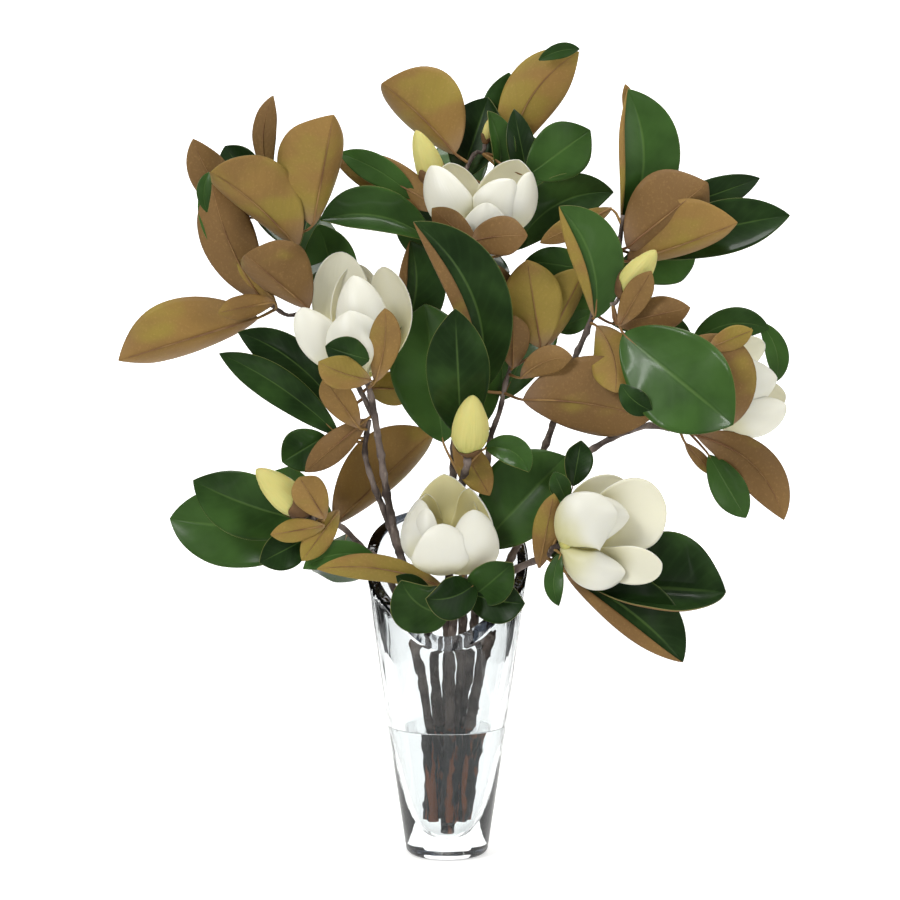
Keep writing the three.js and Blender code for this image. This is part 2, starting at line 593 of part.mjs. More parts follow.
function petalSolid([tipSeen, width, rollDegrees, cupDegrees, bulge, sweep, widest], root) {
  const tip = seen(tipSeen);
  const length = root.distanceTo(tip);
  const along = tip.clone().sub(root).normalize();
  const inner = bladeNormal(along, radians(rollDegrees));
  const rightSide = along.clone().cross(bladeNormal(along, 0));
  const middle = root.clone().lerp(tip, 0.5)
    .addScaledVector(rightSide, 2 * sweep * length)
    .addScaledVector(inner, -2 * bulge * length);
  const curve = new THREE.QuadraticBezierCurve3(root, middle, tip);
  const cup = radians(cupDegrees);
  const stations = PETAL_STATIONS.map((t) => {
    const tangent = curve.getTangent(t);
    const normal = inner.clone().addScaledVector(tangent, -inner.dot(tangent)).normalize();
    const risen = Math.pow(t, Math.log(0.5) / Math.log(widest));
    const share = Math.max(Math.sqrt(4 * risen * (1 - risen)), PETAL_ENDS);
    return {
      centre: curve.getPoint(t),
      side: tangent.cross(normal),
      normal,
      halfWidth: (share * width) / 2,
      thickness: PETAL_THICKNESS,
      cups: [cup, cup],
    };
  });
  return bladeSolid(stations, 2, 0);
}

function turnedSolid(profile, sides, frame, base) {
  const points = profile.map(([radius, height]) => new THREE.Vector2(radius, height));
  const geometry = new THREE.LatheGeometry(points, sides);
  const placing = new THREE.Matrix4().makeBasis(frame.right, frame.front.clone().negate(), frame.up);
  geometry.rotateX(Math.PI / 2);
  geometry.applyMatrix4(placing.setPosition(base));
  return solidFromGeometry(geometry);
}

function bloomSolid(bloom) {
  const frame = flowerFrame(new THREE.Vector3(...bloom.axis));
  const base = seen(bloom.base);
  const root = base.clone().addScaledVector(frame.up, PETAL_ROOT);
  const seat = turnedSolid(SEAT, FLOWER_SIDES, frame, base);
  return oneBody(union([seat, ...bloom.petals.map((petal) => petalSolid(petal, root))]));
}

function budSolid(bud) {
  const base = seen(bud.base);
  const axis = seen(bud.tip).sub(base);
  const height = axis.length();
  const profile = BUD_PROFILE.map(([radius, rise]) => [radius * bud.radius, rise * height]);
  return turnedSolid(profile, FLOWER_SIDES, flowerFrame(axis), base);
}

// ---- branches ------------------------------------------------------------------------------
const SEAT_RUN = 9; // straight end of a twig under its bloom or bud
const BUD_TWIG = { from: 2.4, to: 2 }; // radii of a twig that only carries a bud

// The end of a twig under a bloom or bud: straight along its axis, and SEAT_GAP short of it.
function seatEnd(base, axis) {
  const up = axis.clone().normalize();
  return [base.clone().addScaledVector(up, -SEAT_RUN), base.clone().addScaledVector(up, -SEAT_GAP)];
}

function branchParts(branch) {
  const foot = branch.foot.map(([x, y, z]) => new THREE.Vector3(x, y, z));
  const twigs = branch.twigs.map(({ path, from, to }, index) => ({
    points: index === 0 ? [...foot, ...path.map(seen)] : path.map(seen),
    from,
    to,
  }));
  for (const bloom of BLOOMS.filter(({ on }) => on === branch.name)) {
    twigs[0].points.push(...seatEnd(seen(bloom.base), new THREE.Vector3(...bloom.axis)));
  }
  for (const bud of BUDS.filter(({ on }) => on === branch.name)) {
    const base = seen(bud.base);
    const end = seatEnd(base, seen(bud.tip).sub(base));
    if (bud.from) twigs.push({ points: [seen(bud.from), ...end], ...BUD_TWIG });
    else twigs[bud.twig].points.push(...end);
  }
  return twigs;
}

function branchSolid(branch) {
  const twigs = branchParts(branch);
  const wood = twigs.map((twig) => stemSolid(twig));
  const leaves = branch.leaves.map((leaf, i) => leafSolid(leaf, leafRoot(twigs, seen(leaf[0]), i)));
  return oneBody(union([...wood, ...leaves]));
}

// ---- vase and water ------------------------------------------------------------------------
const outerRadius = (z) => VASE.bodyRadius + VASE.taper * z - VASE.easing * z * z;

// A body turned round the z axis from its radii and heights.
function uprightSolid(profile) {
  const points = profile.map(([radius, height]) => new THREE.Vector2(radius, height));
  return solidFromGeometry(new THREE.LatheGeometry(points, VASE.sides).rotateX(Math.PI / 2));
}

// All that lies above the curve of the mouth, as wide as the curve is long.
function mouthCutter() {
  const top = VASE.turnedHeight + CUT_MARGIN;
  const [front] = MOUTH[0];
  const [back] = MOUTH.at(-1);
  const outline = new THREE.Shape(MOUTH.map(([depth, height]) => new THREE.Vector2(depth, height)));
  outline.lineTo(back, top);
  outline.lineTo(front, top);
  const width = back - front;
  const geometry = new THREE.ExtrudeGeometry(outline, { depth: width, bevelEnabled: false });
  geometry.translate(0, 0, -width / 2);
  const [x, y, z] = [[1, 0, 0], [0, 1, 0], [0, 0, 1]].map((axis) => new THREE.Vector3(...axis));
  return solidFromGeometry(geometry.applyMatrix4(new THREE.Matrix4().makeBasis(y, z, x)));
}

function vaseSolid() {
  const foot = [0, 45, 90].map(radians).map((turn) => [
    VASE.footRadius + VASE.footRound * Math.sin(turn),
    VASE.footRound * (1 - Math.cos(turn)),
  ]);
  const top = VASE.turnedHeight;
  const wall = [top / 2, top].map((z) => [outerRadius(z), z]);
  const outside = uprightSolid([[0, 0], ...foot, ...wall, [0, top]]);
  const above = top + CUT_MARGIN;
  const hollow = uprightSolid([[0, VASE.floor], ...HOLLOW, [HOLLOW.at(-1)[0], above], [0, above]]);
  return outside.subtract(hollow).subtract(mouthCutter());
}

// The water stays clear of the glass and of the stems that stand in it.
function waterSolid() {
  const wetted = HOLLOW.filter(([, z]) => z <= WATER.level);
  const side = wetted.map(([r, z]) => [r - WATER.sideGap, Math.min(z + WATER.slopeGap, WATER.level)]);
  const body = uprightSolid([[0, VASE.floor + WATER.floorGap], ...side, [0, WATER.level]]);
  return BRANCHES.reduce((water, branch) => {
    const [stem] = branchParts(branch);
    return water.subtract(stemSolid(stem, WATER.stemGap));
  }, body);
}

// ---- the arrangement -----------------------------------------------------------------------
const arrangement = new THREE.Group();
arrangement.add(meshFromSolid("vase", vaseSolid(), CLEAR_GLASS));
arrangement.add(meshFromSolid("water", oneBody(waterSolid()), CLEAR_WATER));
for (const branch of BRANCHES) arrangement.add(meshFromSolid(branch.name, branchSolid(branch), LEAFY_WOOD));
for (const bloom of BLOOMS) arrangement.add(meshFromSolid(bloom.name, bloomSolid(bloom), PETAL));
for (const bud of BUDS) arrangement.add(meshFromSolid(bud.name, budSolid(bud), BUD));

export default arrangement;
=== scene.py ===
"""Magnolia branches in a thick glass vase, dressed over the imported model: metres, +Z up."""
import logging
import math
from collections.abc import Callable
from dataclasses import dataclass, field
from enum import Enum
from typing import Any, ClassVar

import bpy
import numpy as np
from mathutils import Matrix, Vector


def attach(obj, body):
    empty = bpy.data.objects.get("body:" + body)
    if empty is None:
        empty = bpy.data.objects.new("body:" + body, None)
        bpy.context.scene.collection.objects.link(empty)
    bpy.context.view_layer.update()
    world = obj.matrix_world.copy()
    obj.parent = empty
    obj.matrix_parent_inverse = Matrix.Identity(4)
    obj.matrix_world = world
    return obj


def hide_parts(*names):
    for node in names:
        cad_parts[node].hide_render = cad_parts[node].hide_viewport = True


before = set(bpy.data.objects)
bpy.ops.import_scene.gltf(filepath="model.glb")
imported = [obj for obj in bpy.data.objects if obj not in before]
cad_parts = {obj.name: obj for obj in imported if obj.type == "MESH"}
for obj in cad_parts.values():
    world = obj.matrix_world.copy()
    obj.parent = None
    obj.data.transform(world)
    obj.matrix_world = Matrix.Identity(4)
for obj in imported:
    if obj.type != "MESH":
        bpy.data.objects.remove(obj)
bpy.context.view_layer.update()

logging.basicConfig(level=logging.INFO, format="%(message)s")
LOG = logging.getLogger("magnolia")
MM = 0.001
BODY = "root"
TURN = 2 * math.pi
Place = tuple[float, float, float]
Array = np.ndarray
Object = bpy.types.Object
Material = bpy.types.Material


class Finish(Enum):
    """The finishes, by the names of their materials."""

    LEAF_GREEN = "leaf_green"
    LEAF_BROWN = "leaf_brown"
    LEAF_RIM = "leaf_rim"
    LEAF_STALK = "leaf_stalk"
    BARK = "bark"
    PETAL_IVORY = "petal_ivory"
    PETAL_CREAM = "petal_cream"
    # Inner faces deep in a bloom, painted yellower and lighter for the light thrown about in its
    # cavity.
    PETAL_HEART = "petal_heart_bounce_light"
    BUD_SKIN = "bud_skin"
    BUD_SCALE = "bud_scale"
    CLEAR_GLASS = "clear_glass"
    CUT_GLASS = "cut_glass_painted_reflections"
    CLEAR_WATER = "clear_water"
    NEAR_PAPER = "paper"
    FAR_PAPER = "far_paper"
    CARD = "card"


class Slot(Enum):
    """The model's material slots."""

    GLASS = "glass"
    WATER = "water"
    LEAFY_WOOD = "leafy_wood"
    PETAL = "petal"
    BUD = "bud"


Finishes = dict[Finish, Material]


# ---- places ------------------------------------------------------------------------------
# Places above the rim are read on an upright sheet, square to the line of sight from EYE, and
# carried along that line to their distance y behind the vase's axis, as in the solid model.
EYE = np.array([3.0, -3500.0, 790.0]) * MM
SHEET_CENTRE = np.array([3.0, 0.0, 410.0]) * MM
TOWARD_EYE = np.array([0.0, -1.0, 0.0])
CURVE_STEPS = 24  # places between two points of a smooth curve, before they are spaced evenly


def unit(vector: Array) -> Array:
    """The vector or rows of vectors at length 1."""
    return vector / np.linalg.norm(vector, axis=-1, keepdims=True)


SHEET_UP = np.cross([1.0, 0.0, 0.0], unit(SHEET_CENTRE - EYE))


def seen(place: Place) -> Array:
    """Carries a place of the upright sheet to its depth.

    Args:
        place: rightward, height and depth in millimetres.

    Returns:
        The real place in metres.
    """
    x, z, y = (value * MM for value in place)
    on_sheet = SHEET_CENTRE + [x - SHEET_CENTRE[0], 0, 0] + SHEET_UP * (z - SHEET_CENTRE[2])
    return EYE + (on_sheet - EYE) * (y - EYE[1]) / (on_sheet[1] - EYE[1])


def smooth_line(points: list[Array], step: float) -> Array:
    """Evenly spaced places along a smooth curve through the points.

    Args:
        points: the places that the curve passes, two or more.
        step: wanted distance between two places, in metres.

    Returns:
        The places, one a row.
    """
    knots = np.array([2 * points[0] - points[1], *points, 2 * points[-1] - points[-2]])
    dense = []
    for before, start, end, after in zip(knots, knots[1:], knots[2:], knots[3:]):
        pairs = ((before, start), (start, end), (end, after))
        first, middle, last = (math.sqrt(np.linalg.norm(b - a)) for a, b in pairs)
        leave = (start - before) / first - (end - before) / (first + middle)
        leave = leave + (end - start) / middle
        arrive = (end - start) / middle - (after - start) / (middle + last) + (after - end) / last
        t = np.linspace(0, 1, CURVE_STEPS, endpoint=False)[:, None]
        dense.append(
            start * (2 * t**3 - 3 * t**2 + 1)
            + end * (3 * t**2 - 2 * t**3)
            + leave * middle * (t**3 - 2 * t**2 + t)
            + arrive * middle * (t**3 - t**2)
        )
    line = np.vstack([*dense, points[-1][None, :]])
    walked = np.concatenate([[0], np.cumsum(np.linalg.norm(np.diff(line, axis=0), axis=1))])
    count = max(3, round(walked[-1] / step) + 1)
    even = np.linspace(0, walked[-1], count)
    return np.stack([np.interp(even, walked, column) for column in line.T], axis=1)


def turned(vector: Array, axis: Array, angle: float) -> Array:
    """The vector turned round an axis of length 1 by an angle in radians."""
    along = axis * np.sum(axis * vector, axis=-1, keepdims=True)
    return (vector - along) * np.cos(angle) + np.cross(axis, vector) * np.sin(angle) + along


def smooth_share(value: Array) -> Array:
    """A soft step from 0 to 1 over the same range."""
    share = np.clip(value, 0, 1)
    return share * share * (3 - 2 * share)


# ---- modelling ---------------------------------------------------------------------------
MERGE = 2e-6  # distance under which two places are one, in metres


def activate(piece: Object) -> None:
    """Makes a piece the only selected and active one.

    Args:
        piece: the object.
    """
    bpy.ops.object.select_all(action="DESELECT")
    piece.select_set(True)
    bpy.context.view_layer.objects.active = piece


def apply_modifier(piece: Object, kind: str, **settings: Any) -> None:
    """Adds a modifier to a piece and applies it.

    Args:
        piece: the object to finish.
        kind: the modifier's type.
        **settings: its properties.
    """
    activate(piece)
    modifier = piece.modifiers.new(kind.lower(), kind)
    for name, value in settings.items():
        setattr(modifier, name, value)
    bpy.ops.object.modifier_apply(modifier=modifier.name)


def joined(pieces: list[Object], name: str) -> Object:
    """Joins pieces into one object.

    Args:
        pieces: the objects, of which the first one stays.
        name: the joined object's name.

    Returns:
        The joined object.
    """
    activate(pieces[0])
    for piece in pieces:
        piece.select_set(True)
    bpy.ops.object.join()
    pieces[0].name = name
    pieces[0].data.name = name
    return pieces[0]


def merge_places() -> None:
    """Merges the active piece's doubled places and leaves edit mode open, all selected."""
    bpy.ops.object.mode_set(mode="EDIT")
    bpy.ops.mesh.select_all(action="SELECT")
    bpy.ops.mesh.remove_doubles(threshold=MERGE)


def wear(piece: Object, finishes: Finishes, *names: Finish) -> None:
    """Gives a piece its finishes, in the order of its material numbers."""
    for name in names:
        piece.data.materials.append(finishes[name])


def stand_for(piece: Object, node: str) -> None:
    """Lets a piece ride on the model in place of a node, and reports it.

    Args:
        piece: the finished object.
        node: the solid that it is drawn for.
    """
    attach(piece, BODY)
    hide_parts(node)
    LOG.info("%s: %d faces for %s", piece.name, len(piece.data.polygons), node)


@dataclass
class Sheet:
    """A flat grid that is modelled once, and copied and bent into blades, petals and tubes."""

    across: int
    along: int
    blank: Object | None = None
    made: ClassVar[list[Object]] = []

    def _blank(self) -> Object:
        """The flat grid, added on first use.

        Returns:
            The grid.
        """
        if self.blank is None:
            bpy.ops.object.select_all(action="DESELECT")
            bpy.ops.mesh.primitive_grid_add(
                x_subdivisions=self.across, y_subdivisions=self.along, size=1
            )
            self.blank = bpy.context.object
            Sheet.made.append(self.blank)
        return self.blank

    def bent(self, name: str, places: Array) -> Object:
        """Copies the grid and lays it through a table of places.

        Args:
            name: the new object's name.
            places: places by row along, then column across.

        Returns:
            The bent sheet, smooth shaded.
        """
        blank = self._blank()
        piece = bpy.data.objects.new(name, blank.data.copy())
        bpy.context.scene.collection.objects.link(piece)
        flat = np.zeros(len(piece.data.vertices) * 3, np.float32)
        piece.data.vertices.foreach_get("co", flat)
        flat = flat.reshape(-1, 3) + 0.5
        rows = np.rint(flat[:, 1] * self.along).astype(int)
        columns = np.rint(flat[:, 0] * self.across).astype(int)
        piece.data.vertices.foreach_set("co", places[rows, columns].astype(np.float32).ravel())
        piece.data.update()
        activate(piece)
        bpy.ops.object.shade_smooth()
        return piece

    def rolled(self, name: str, places: Array) -> Object:
        """Bends the grid into a tube or a turned body, closes its seam and fills its ends.

        Args:
            name: the new object's name.
            places: places by row along, then column round, the last column on the first.

        Returns:
            The closed body, smooth shaded.
        """
        piece = self.bent(name, places)
        merge_places()
        bpy.ops.mesh.fill_holes(sides=0)
        bpy.ops.mesh.normals_make_consistent(inside=False)
        bpy.ops.object.mode_set(mode="OBJECT")
        return piece

    @classmethod
    def put_away(cls) -> None:
        """Removes the flat grids once everything is bent."""
        for blank in cls.made:
            bpy.data.objects.remove(blank)
        cls.made.clear()


def tube_places(line: Array, radii: Array, sides: int) -> Array:
    """Places round a line, without twist.

    Args:
        line: the centre line, one place a row.
        radii: a radius for each place, or for each place and each side.
        sides: how many places go round.

    Returns:
        Places by row along, then column round, the last column on the first.
    """
    tangents = unit(np.gradient(line, axis=0))
    normal = unit(np.cross(tangents[0], TOWARD_EYE))
    normals = []
    for tangent in tangents:
        normal = unit(normal - tangent * np.dot(normal, tangent))
        normals.append(normal)
    normals = np.array(normals)
    cross = np.cross(tangents, normals)
    angles = np.linspace(0, TURN, sides + 1)[None, :, None]
    reach = np.reshape(radii, (len(line), -1))
    if reach.shape[1] > 1:
        reach = np.hstack([reach, reach[:, :1]])
    spokes = normals[:, None, :] * np.cos(angles) + cross[:, None, :] * np.sin(angles)
    return line[:, None, :] + spokes * reach[:, :, None]


FOLD_TURN = math.radians(172)  # how far a folded edge turns back
FOLD_SPAN = 0.12  # share of a blade's side over which it turns
SECTION_STEPS = 240


def side_section(share: Array, cup: float, crease: float, fold: float) -> tuple[Array, Array]:
    """Places over one side of a blade's section, per unit of half-width.

    Args:
        share: where the places are, from 0 at the midline to 1 at the edge.
        cup: how far the side curls up, in radians.
        crease: the share of the curl that is a bend at the midline.
        fold: the share from which the side lies folded back over itself, or 1 for none.

    Returns:
        The outward and the upward place at each share.
    """
    fine = np.linspace(0, 1, SECTION_STEPS + 1)
    angle = crease * cup + (1 - crease) * cup * fine
    if fold < 1:
        angle = angle + FOLD_TURN * smooth_share((fine - fold) / FOLD_SPAN)
    out = np.concatenate([[0.0], np.cumsum(np.cos(angle[1:]) / SECTION_STEPS)])
    up = np.concatenate([[0.0], np.cumsum(np.sin(angle[1:]) / SECTION_STEPS)])
    return np.interp(share, fine, out), np.interp(share, fine, up)


def blade_places(
    centres: Array, sides: Array, normals: Array,
    half_widths: tuple[Array, Array], cups: tuple[float, float], columns: int,
    ripple: Array | None = None, crease: float = 0.35, folds: tuple[float, float] = (1.0, 1.0),
) -> Array:
    """Places over a blade whose two sides curl up from its midline.

    Args:
        centres: the midline, one place a row.
        sides: rightward direction at each place.
        normals: upward direction at each place.
        half_widths: the left and the right side's width at each place.
        cups: how far the left and the right side curl, in radians.
        columns: how many faces go across, an even number.
        ripple: extra height as a share of the half-width, by row and column.
        crease: the share of the curl that is a bend at the midline.
        folds: the share of the left and the right side from which it lies folded back, 1 for none.

    Returns:
        Places by row along, then column across.
    """
    across = np.linspace(-1, 1, columns + 1)
    half = columns // 2
    left_out, left_up = side_section(-across[: half + 1], cups[0], crease, folds[0])
    right_out, right_up = side_section(across[half:], cups[1], crease, folds[1])
    out = np.concatenate([-left_out, right_out[1:]])
    heights = np.broadcast_to(np.concatenate([left_up, right_up[1:]]), (len(centres), len(across)))
    if ripple is not None:
        heights = heights + ripple
    left, right = half_widths
    reach = np.where((across < 0)[None, :], left[:, None], right[:, None])[:, :, None]
    return (
        centres[:, None, :]
        + sides[:, None, :] * out[None, :, None] * reach
        + normals[:, None, :] * heights[:, :, None] * reach
    )


# ---- finishes ----------------------------------------------------------------------------
WHITE = (1.0, 1.0, 1.0, 1.0)
MID_GREY = (0.5, 0.5, 0.5, 1.0)


def tone(code: str) -> tuple[float, float, float, float]:
    """The linear colour of a hexadecimal screen colour."""
    parts = [int(code[i : i + 2], 16) / 255 for i in (1, 3, 5)]
    return (*(c / 12.92 if c <= 0.04045 else ((c + 0.055) / 1.055) ** 2.4 for c in parts), 1.0)


class Wire:
    """A value inside a material, with which arithmetic adds Math nodes."""

    def __init__(self, bench: "Bench", socket: bpy.types.NodeSocket) -> None:
        """Holds a socket of a bench's node tree."""
        self.bench = bench
        self.socket = socket

    def _math(self, operation: str, first: Any, second: Any) -> "Wire":
        """Adds one Math node on two values."""
        return self.bench.node("ShaderNodeMath", {"operation": operation}, {0: first, 1: second})

    def __add__(self, other: Any) -> "Wire":
        """This plus the other."""
        return self._math("ADD", self, other)

    __radd__ = __add__

    def __sub__(self, other: Any) -> "Wire":
        """This minus the other."""
        return self._math("SUBTRACT", self, other)

    def __rsub__(self, other: Any) -> "Wire":
        """The other minus this."""
        return self._math("SUBTRACT", other, self)

    def __mul__(self, other: Any) -> "Wire":
        """This times the other."""
        return self._math("MULTIPLY", self, other)

    def __abs__(self) -> "Wire":
        """This without its sign."""
        return self._math("ABSOLUTE", self, 0.0)

    def sine(self) -> "Wire":
        """The sine of this."""
        return self._math("SINE", self, 0.0)

    def ramp(self, low: float, high: float) -> "Wire":
        """A soft step of this, rising or falling.

        Args:
            low: where it is 0.
            high: where it is 1.

        Returns:
            The step.
        """
        if low < high:
            values = {0: self, 1: low, 2: high}
            smooth = {"interpolation_type": "SMOOTHSTEP"}
            return self.bench.node("ShaderNodeMapRange", smooth, values)
        return 1.0 - self.ramp(high, low)


class Bench:
    """The node tree of one material, round one surface shader."""

    def __init__(self, finish: Finish, **constants: Any) -> None:
        """Starts a material.

        Args:
            finish: the finish, which names the material.
            **constants: values for the shader's own sockets, with _ for a space.
        """
        self.material = bpy.data.materials.new(finish.value)
        self.material.use_nodes = True
        self.tree = self.material.node_tree
        self.shader = self.tree.nodes["Principled BSDF"]
        for label, value in constants.items():
            self.shader.inputs[label.replace("_", " ")].default_value = value

    def node(
        self, kind: str, settings: dict[str, Any], values: dict[Any, Any], output: Any = 0
    ) -> Wire:
        """Adds one node.

        Args:
            kind: the node's type.
            settings: its properties.
            values: a number, colour or wire for each named or numbered socket.
            output: the name or number of the wanted output.

        Returns:
            The wanted output.
        """
        made = self.tree.nodes.new(kind)
        for label, value in settings.items():
            setattr(made, label, value)
        for label, value in values.items():
            if isinstance(value, Wire):
                self.tree.links.new(value.socket, made.inputs[label])
            else:
                made.inputs[label].default_value = value
        return Wire(self, made.outputs[output])

    def place(self) -> Wire:
        """The place on the object."""
        return self.node("ShaderNodeTexCoord", {}, {}, "Object")

    def attribute(self, name: str) -> Wire:
        """A number that the mesh carries."""
        return self.node("ShaderNodeAttribute", {"attribute_name": name}, {}, "Fac")

    def parts(self, place: Wire) -> list[Wire]:
        """The x, y and z of a place."""
        split = self.node("ShaderNodeSeparateXYZ", {}, {0: place}).socket.node
        return [Wire(self, output) for output in split.outputs]

    def sheet_place(self) -> list[Wire]:
        """The places across and along the sheet that the piece was bent from."""
        return self.parts(self.node("ShaderNodeUVMap", {"uv_map": "UVMap"}, {}))[:2]

    def noise(self, place: Wire, scale: float, detail: float = 3.0) -> Wire:
        """Cloudy unevenness between 0 and 1 round 0.5."""
        values = {"Vector": place, "Scale": scale, "Detail": detail}
        return self.node("ShaderNodeTexNoise", {}, values, "Fac")

    def vein_noise(
        self, across: Wire, along: Wire, counts: tuple[float, float], scale: float
    ) -> Wire:
        """Unevenness between 0 and 1 in streaks, counted across and along a sheet."""
        stretched = {0: across * counts[0], 1: along * counts[1]}
        return self.noise(self.node("ShaderNodeCombineXYZ", {}, stretched), scale)

    def stretched(self, place: Wire, scale: tuple[float, float, float]) -> Wire:
        """A place scaled along each axis."""
        return self.node("ShaderNodeMapping", {}, {"Vector": place, "Scale": scale}, "Vector")

    def blend(self, share: Any, first: Any, second: Any) -> Wire:
        """A colour between two colours."""
        return self.node("ShaderNodeMix", {"data_type": "RGBA"}, {0: share, 6: first, 7: second}, 2)

    def bump(self, height: Wire, distance: float) -> None:
        """Raises the surface by a height."""
        values = {"Height": height, "Distance": distance, "Strength": 1.0}
        self.feed(Normal=self.node("ShaderNodeBump", {}, values))

    def feed(self, **wires: Wire) -> None:
        """Links wires to the shader's sockets, named with _ for a space."""
        for label, wire in wires.items():
            self.tree.links.new(wire.socket, self.shader.inputs[label.replace("_", " ")])


@dataclass(frozen=True)
class LeafGreen:
    """The glossy upper face: dark green, with a pale midrib and faint side veins."""

    deep: str = "#172c0d"
    fresh: str = "#3a5a24"
    rib: str = "#5f7d3c"
    rim: str = "#4c5f28"
    vein: str = "#4a7038"
    veins: float = 13.0
    slant: float = 2.6

    def material(self) -> Material:
        """Makes the finish.

        Returns:
            Its material.
        """
        bench = Bench(Finish.LEAF_GREEN, Specular_IOR_Level=0.18, Coat_Roughness=0.11)
        across, along = bench.sheet_place()
        place, tint = bench.place(), bench.attribute("tint")
        off = abs(across - 0.5) * 2.0
        cloud = bench.noise(place, 22.0)
        age = (cloud * 1.2 + tint * 0.9 - 0.55).ramp(0.0, 1.0)
        body = bench.blend(age, tone(self.deep), tone(self.fresh))
        waves = ((along * self.veins - off * self.slant) * TURN).sine()
        vein = waves.ramp(0.4, 1.0) * off.ramp(1.0, 0.7) * 0.03
        body = bench.blend(vein, body, tone(self.vein))
        midrib = off.ramp(0.05, 0.015) * along.ramp(1.0, 0.6) * 0.32
        body = bench.blend(midrib, body, tone(self.rib))
        body = bench.blend(off.ramp(0.965, 0.995) * 0.6, body, tone(self.rim))
        speckle = bench.noise(place, 260.0)
        bench.feed(
            Base_Color=body,
            Roughness=cloud * 0.14 + 0.3 + speckle * 0.08,
            Coat_Weight=0.5 - speckle * 0.3,
        )
        groove = off.ramp(0.08, 0.0) * -1.2
        bench.bump(waves * off.ramp(1.0, 0.7) * 0.04 + groove + cloud * 5.0, 0.0003)
        return bench.material


@dataclass(frozen=True)
class LeafBrown:
    """The felted lower face: ochre to brown, olive in places and mauve near the base."""

    ochre: str = "#8b6c36"
    brown: str = "#73562f"
    olive: str = "#8a7a30"
    mauve: str = "#8a705c"
    rib: str = "#6a472a"
    felt: str = "#b8935a"
    veins: float = 12.0
    slant: float = 2.6

    def material(self) -> Material:
        """Makes the finish.

        Returns:
            Its material.
        """
        bench = Bench(
            Finish.LEAF_BROWN, Specular_IOR_Level=0.25, Sheen_Weight=0.05, Sheen_Roughness=0.5
        )
        across, along = bench.sheet_place()
        place, tint = bench.place(), bench.attribute("tint")
        off = abs(across - 0.5) * 2.0
        cloud = bench.noise(place, 16.0)
        felt = bench.noise(place, 420.0, 4.0)
        age = (cloud + tint * 0.8 - 0.5).ramp(0.1, 0.8)
        body = bench.blend(age, tone(self.brown), tone(self.ochre))
        patch = bench.noise(bench.stretched(place, (1.0, 1.0, 1.7)), 13.0, 2.0)
        body = bench.blend((patch + tint * 0.25).ramp(0.62, 0.8) * 0.75, body, tone(self.olive))
        body = bench.blend(along.ramp(0.3, 0.0) * 0.6, body, tone(self.mauve))
        waves = ((along * self.veins - off * self.slant) * TURN).sine()
        body = bench.blend(waves.ramp(0.6, 1.0) * off.ramp(1.0, 0.75) * 0.05, body, tone(self.rib))
        body = bench.blend(off.ramp(0.06, 0.02) * 0.3, body, tone(self.rib))
        body = bench.blend((felt - 0.5).ramp(0.0, 0.3) * 0.2, body, tone(self.felt))
        bench.feed(Base_Color=body, Roughness=felt * 0.2 + 0.5)
        bench.bump(waves * off.ramp(1.0, 0.7) * 0.12 + felt * 0.3, 0.0003)
        return bench.material


@dataclass(frozen=True)
class LeafRim:
    """The thin cut-looking edge of a leaf, yellow-green."""

    pale: str = "#7d7c3c"
    dull: str = "#525a2a"

    def material(self) -> Material:
        """Makes the finish.

        Returns:
            Its material.
        """
        bench = Bench(Finish.LEAF_RIM, Specular_IOR_Level=0.4)
        cloud = bench.noise(bench.place(), 60.0)
        colour = bench.blend(cloud, tone(self.dull), tone(self.pale))
        bench.feed(Base_Color=colour, Roughness=cloud * 0.2 + 0.4)
        return bench.material


@dataclass(frozen=True)
class LeafStalk:
    """Leaf stalks and lower midribs: brown, ochre in places."""

    brown: str = "#74502e"
    ochre: str = "#937341"

    def material(self) -> Material:
        """Makes the finish.

        Returns:
            Its material.
        """
        bench = Bench(Finish.LEAF_STALK, Specular_IOR_Level=0.4)
        place = bench.place()
        cloud = bench.noise(place, 40.0)
        bench.feed(
            Base_Color=bench.blend(cloud.ramp(0.35, 0.7), tone(self.brown), tone(self.ochre)),
            Roughness=cloud * 0.2 + 0.5,
        )
        bench.bump(bench.noise(place, 300.0), 0.0004)
        return bench.material


@dataclass(frozen=True)
class Bark:
    """Grey-brown bark with pale pores, darkened by painted shade down into the vase's mouth, and
    under water wet bark painted near-black for shade, with warm streaks.
    """

    grey: str = "#80726a"
    dark: str = "#3a2f2a"
    pore: str = "#a3968a"
    wet: str = "#8e4a1c"
    # Under water the wet bark is painted near-black for shade, streaked with the warm wet colour.
    soaked_and_shaded: str = "#0e0906"
    water_level: float = 0.13
    waterline: float = 0.003
    # From this height down to the next one, painted shade darkens the bark inside the vase's mouth.
    vase_shade_from: float = 0.24
    vase_shade_below: float = 0.17

    def material(self) -> Material:
        """Makes the finish.

        Returns:
            Its material.
        """
        bench = Bench(Finish.BARK, Specular_IOR_Level=0.35)
        place = bench.place()
        cloud = bench.noise(place, 45.0, 5.0)
        rough = bench.noise(bench.stretched(place, (1.0, 1.0, 0.35)), 300.0, 5.0)
        body = bench.blend(cloud.ramp(0.32, 0.68), tone(self.dark), tone(self.grey))
        body = bench.blend(rough.ramp(0.58, 0.72) * 0.55, body, tone(self.pore))
        height = bench.parts(place)[2]
        grain = bench.noise(bench.stretched(place, (1.0, 1.0, 0.16)), 130.0, 4.0)
        # Painted shade: the bark darkens toward the dark colour down into the vase's mouth.
        shade_in_vase_mouth = height.ramp(self.vase_shade_from, self.vase_shade_below) * 0.45
        body = bench.blend(shade_in_vase_mouth, body, tone(self.dark))
        # Under water: wet bark with painted shade, near-black between warm streaks.
        under = bench.blend(grain.ramp(0.5, 0.6), tone(self.soaked_and_shaded), tone(self.wet))
        top, bottom = self.water_level + self.waterline, self.water_level - self.waterline
        body = bench.blend(height.ramp(top, bottom), body, under)
        bench.feed(Base_Color=body, Roughness=rough * 0.3 + 0.5)
        bench.bump(rough + cloud * 1.5, 0.0015)
        return bench.material


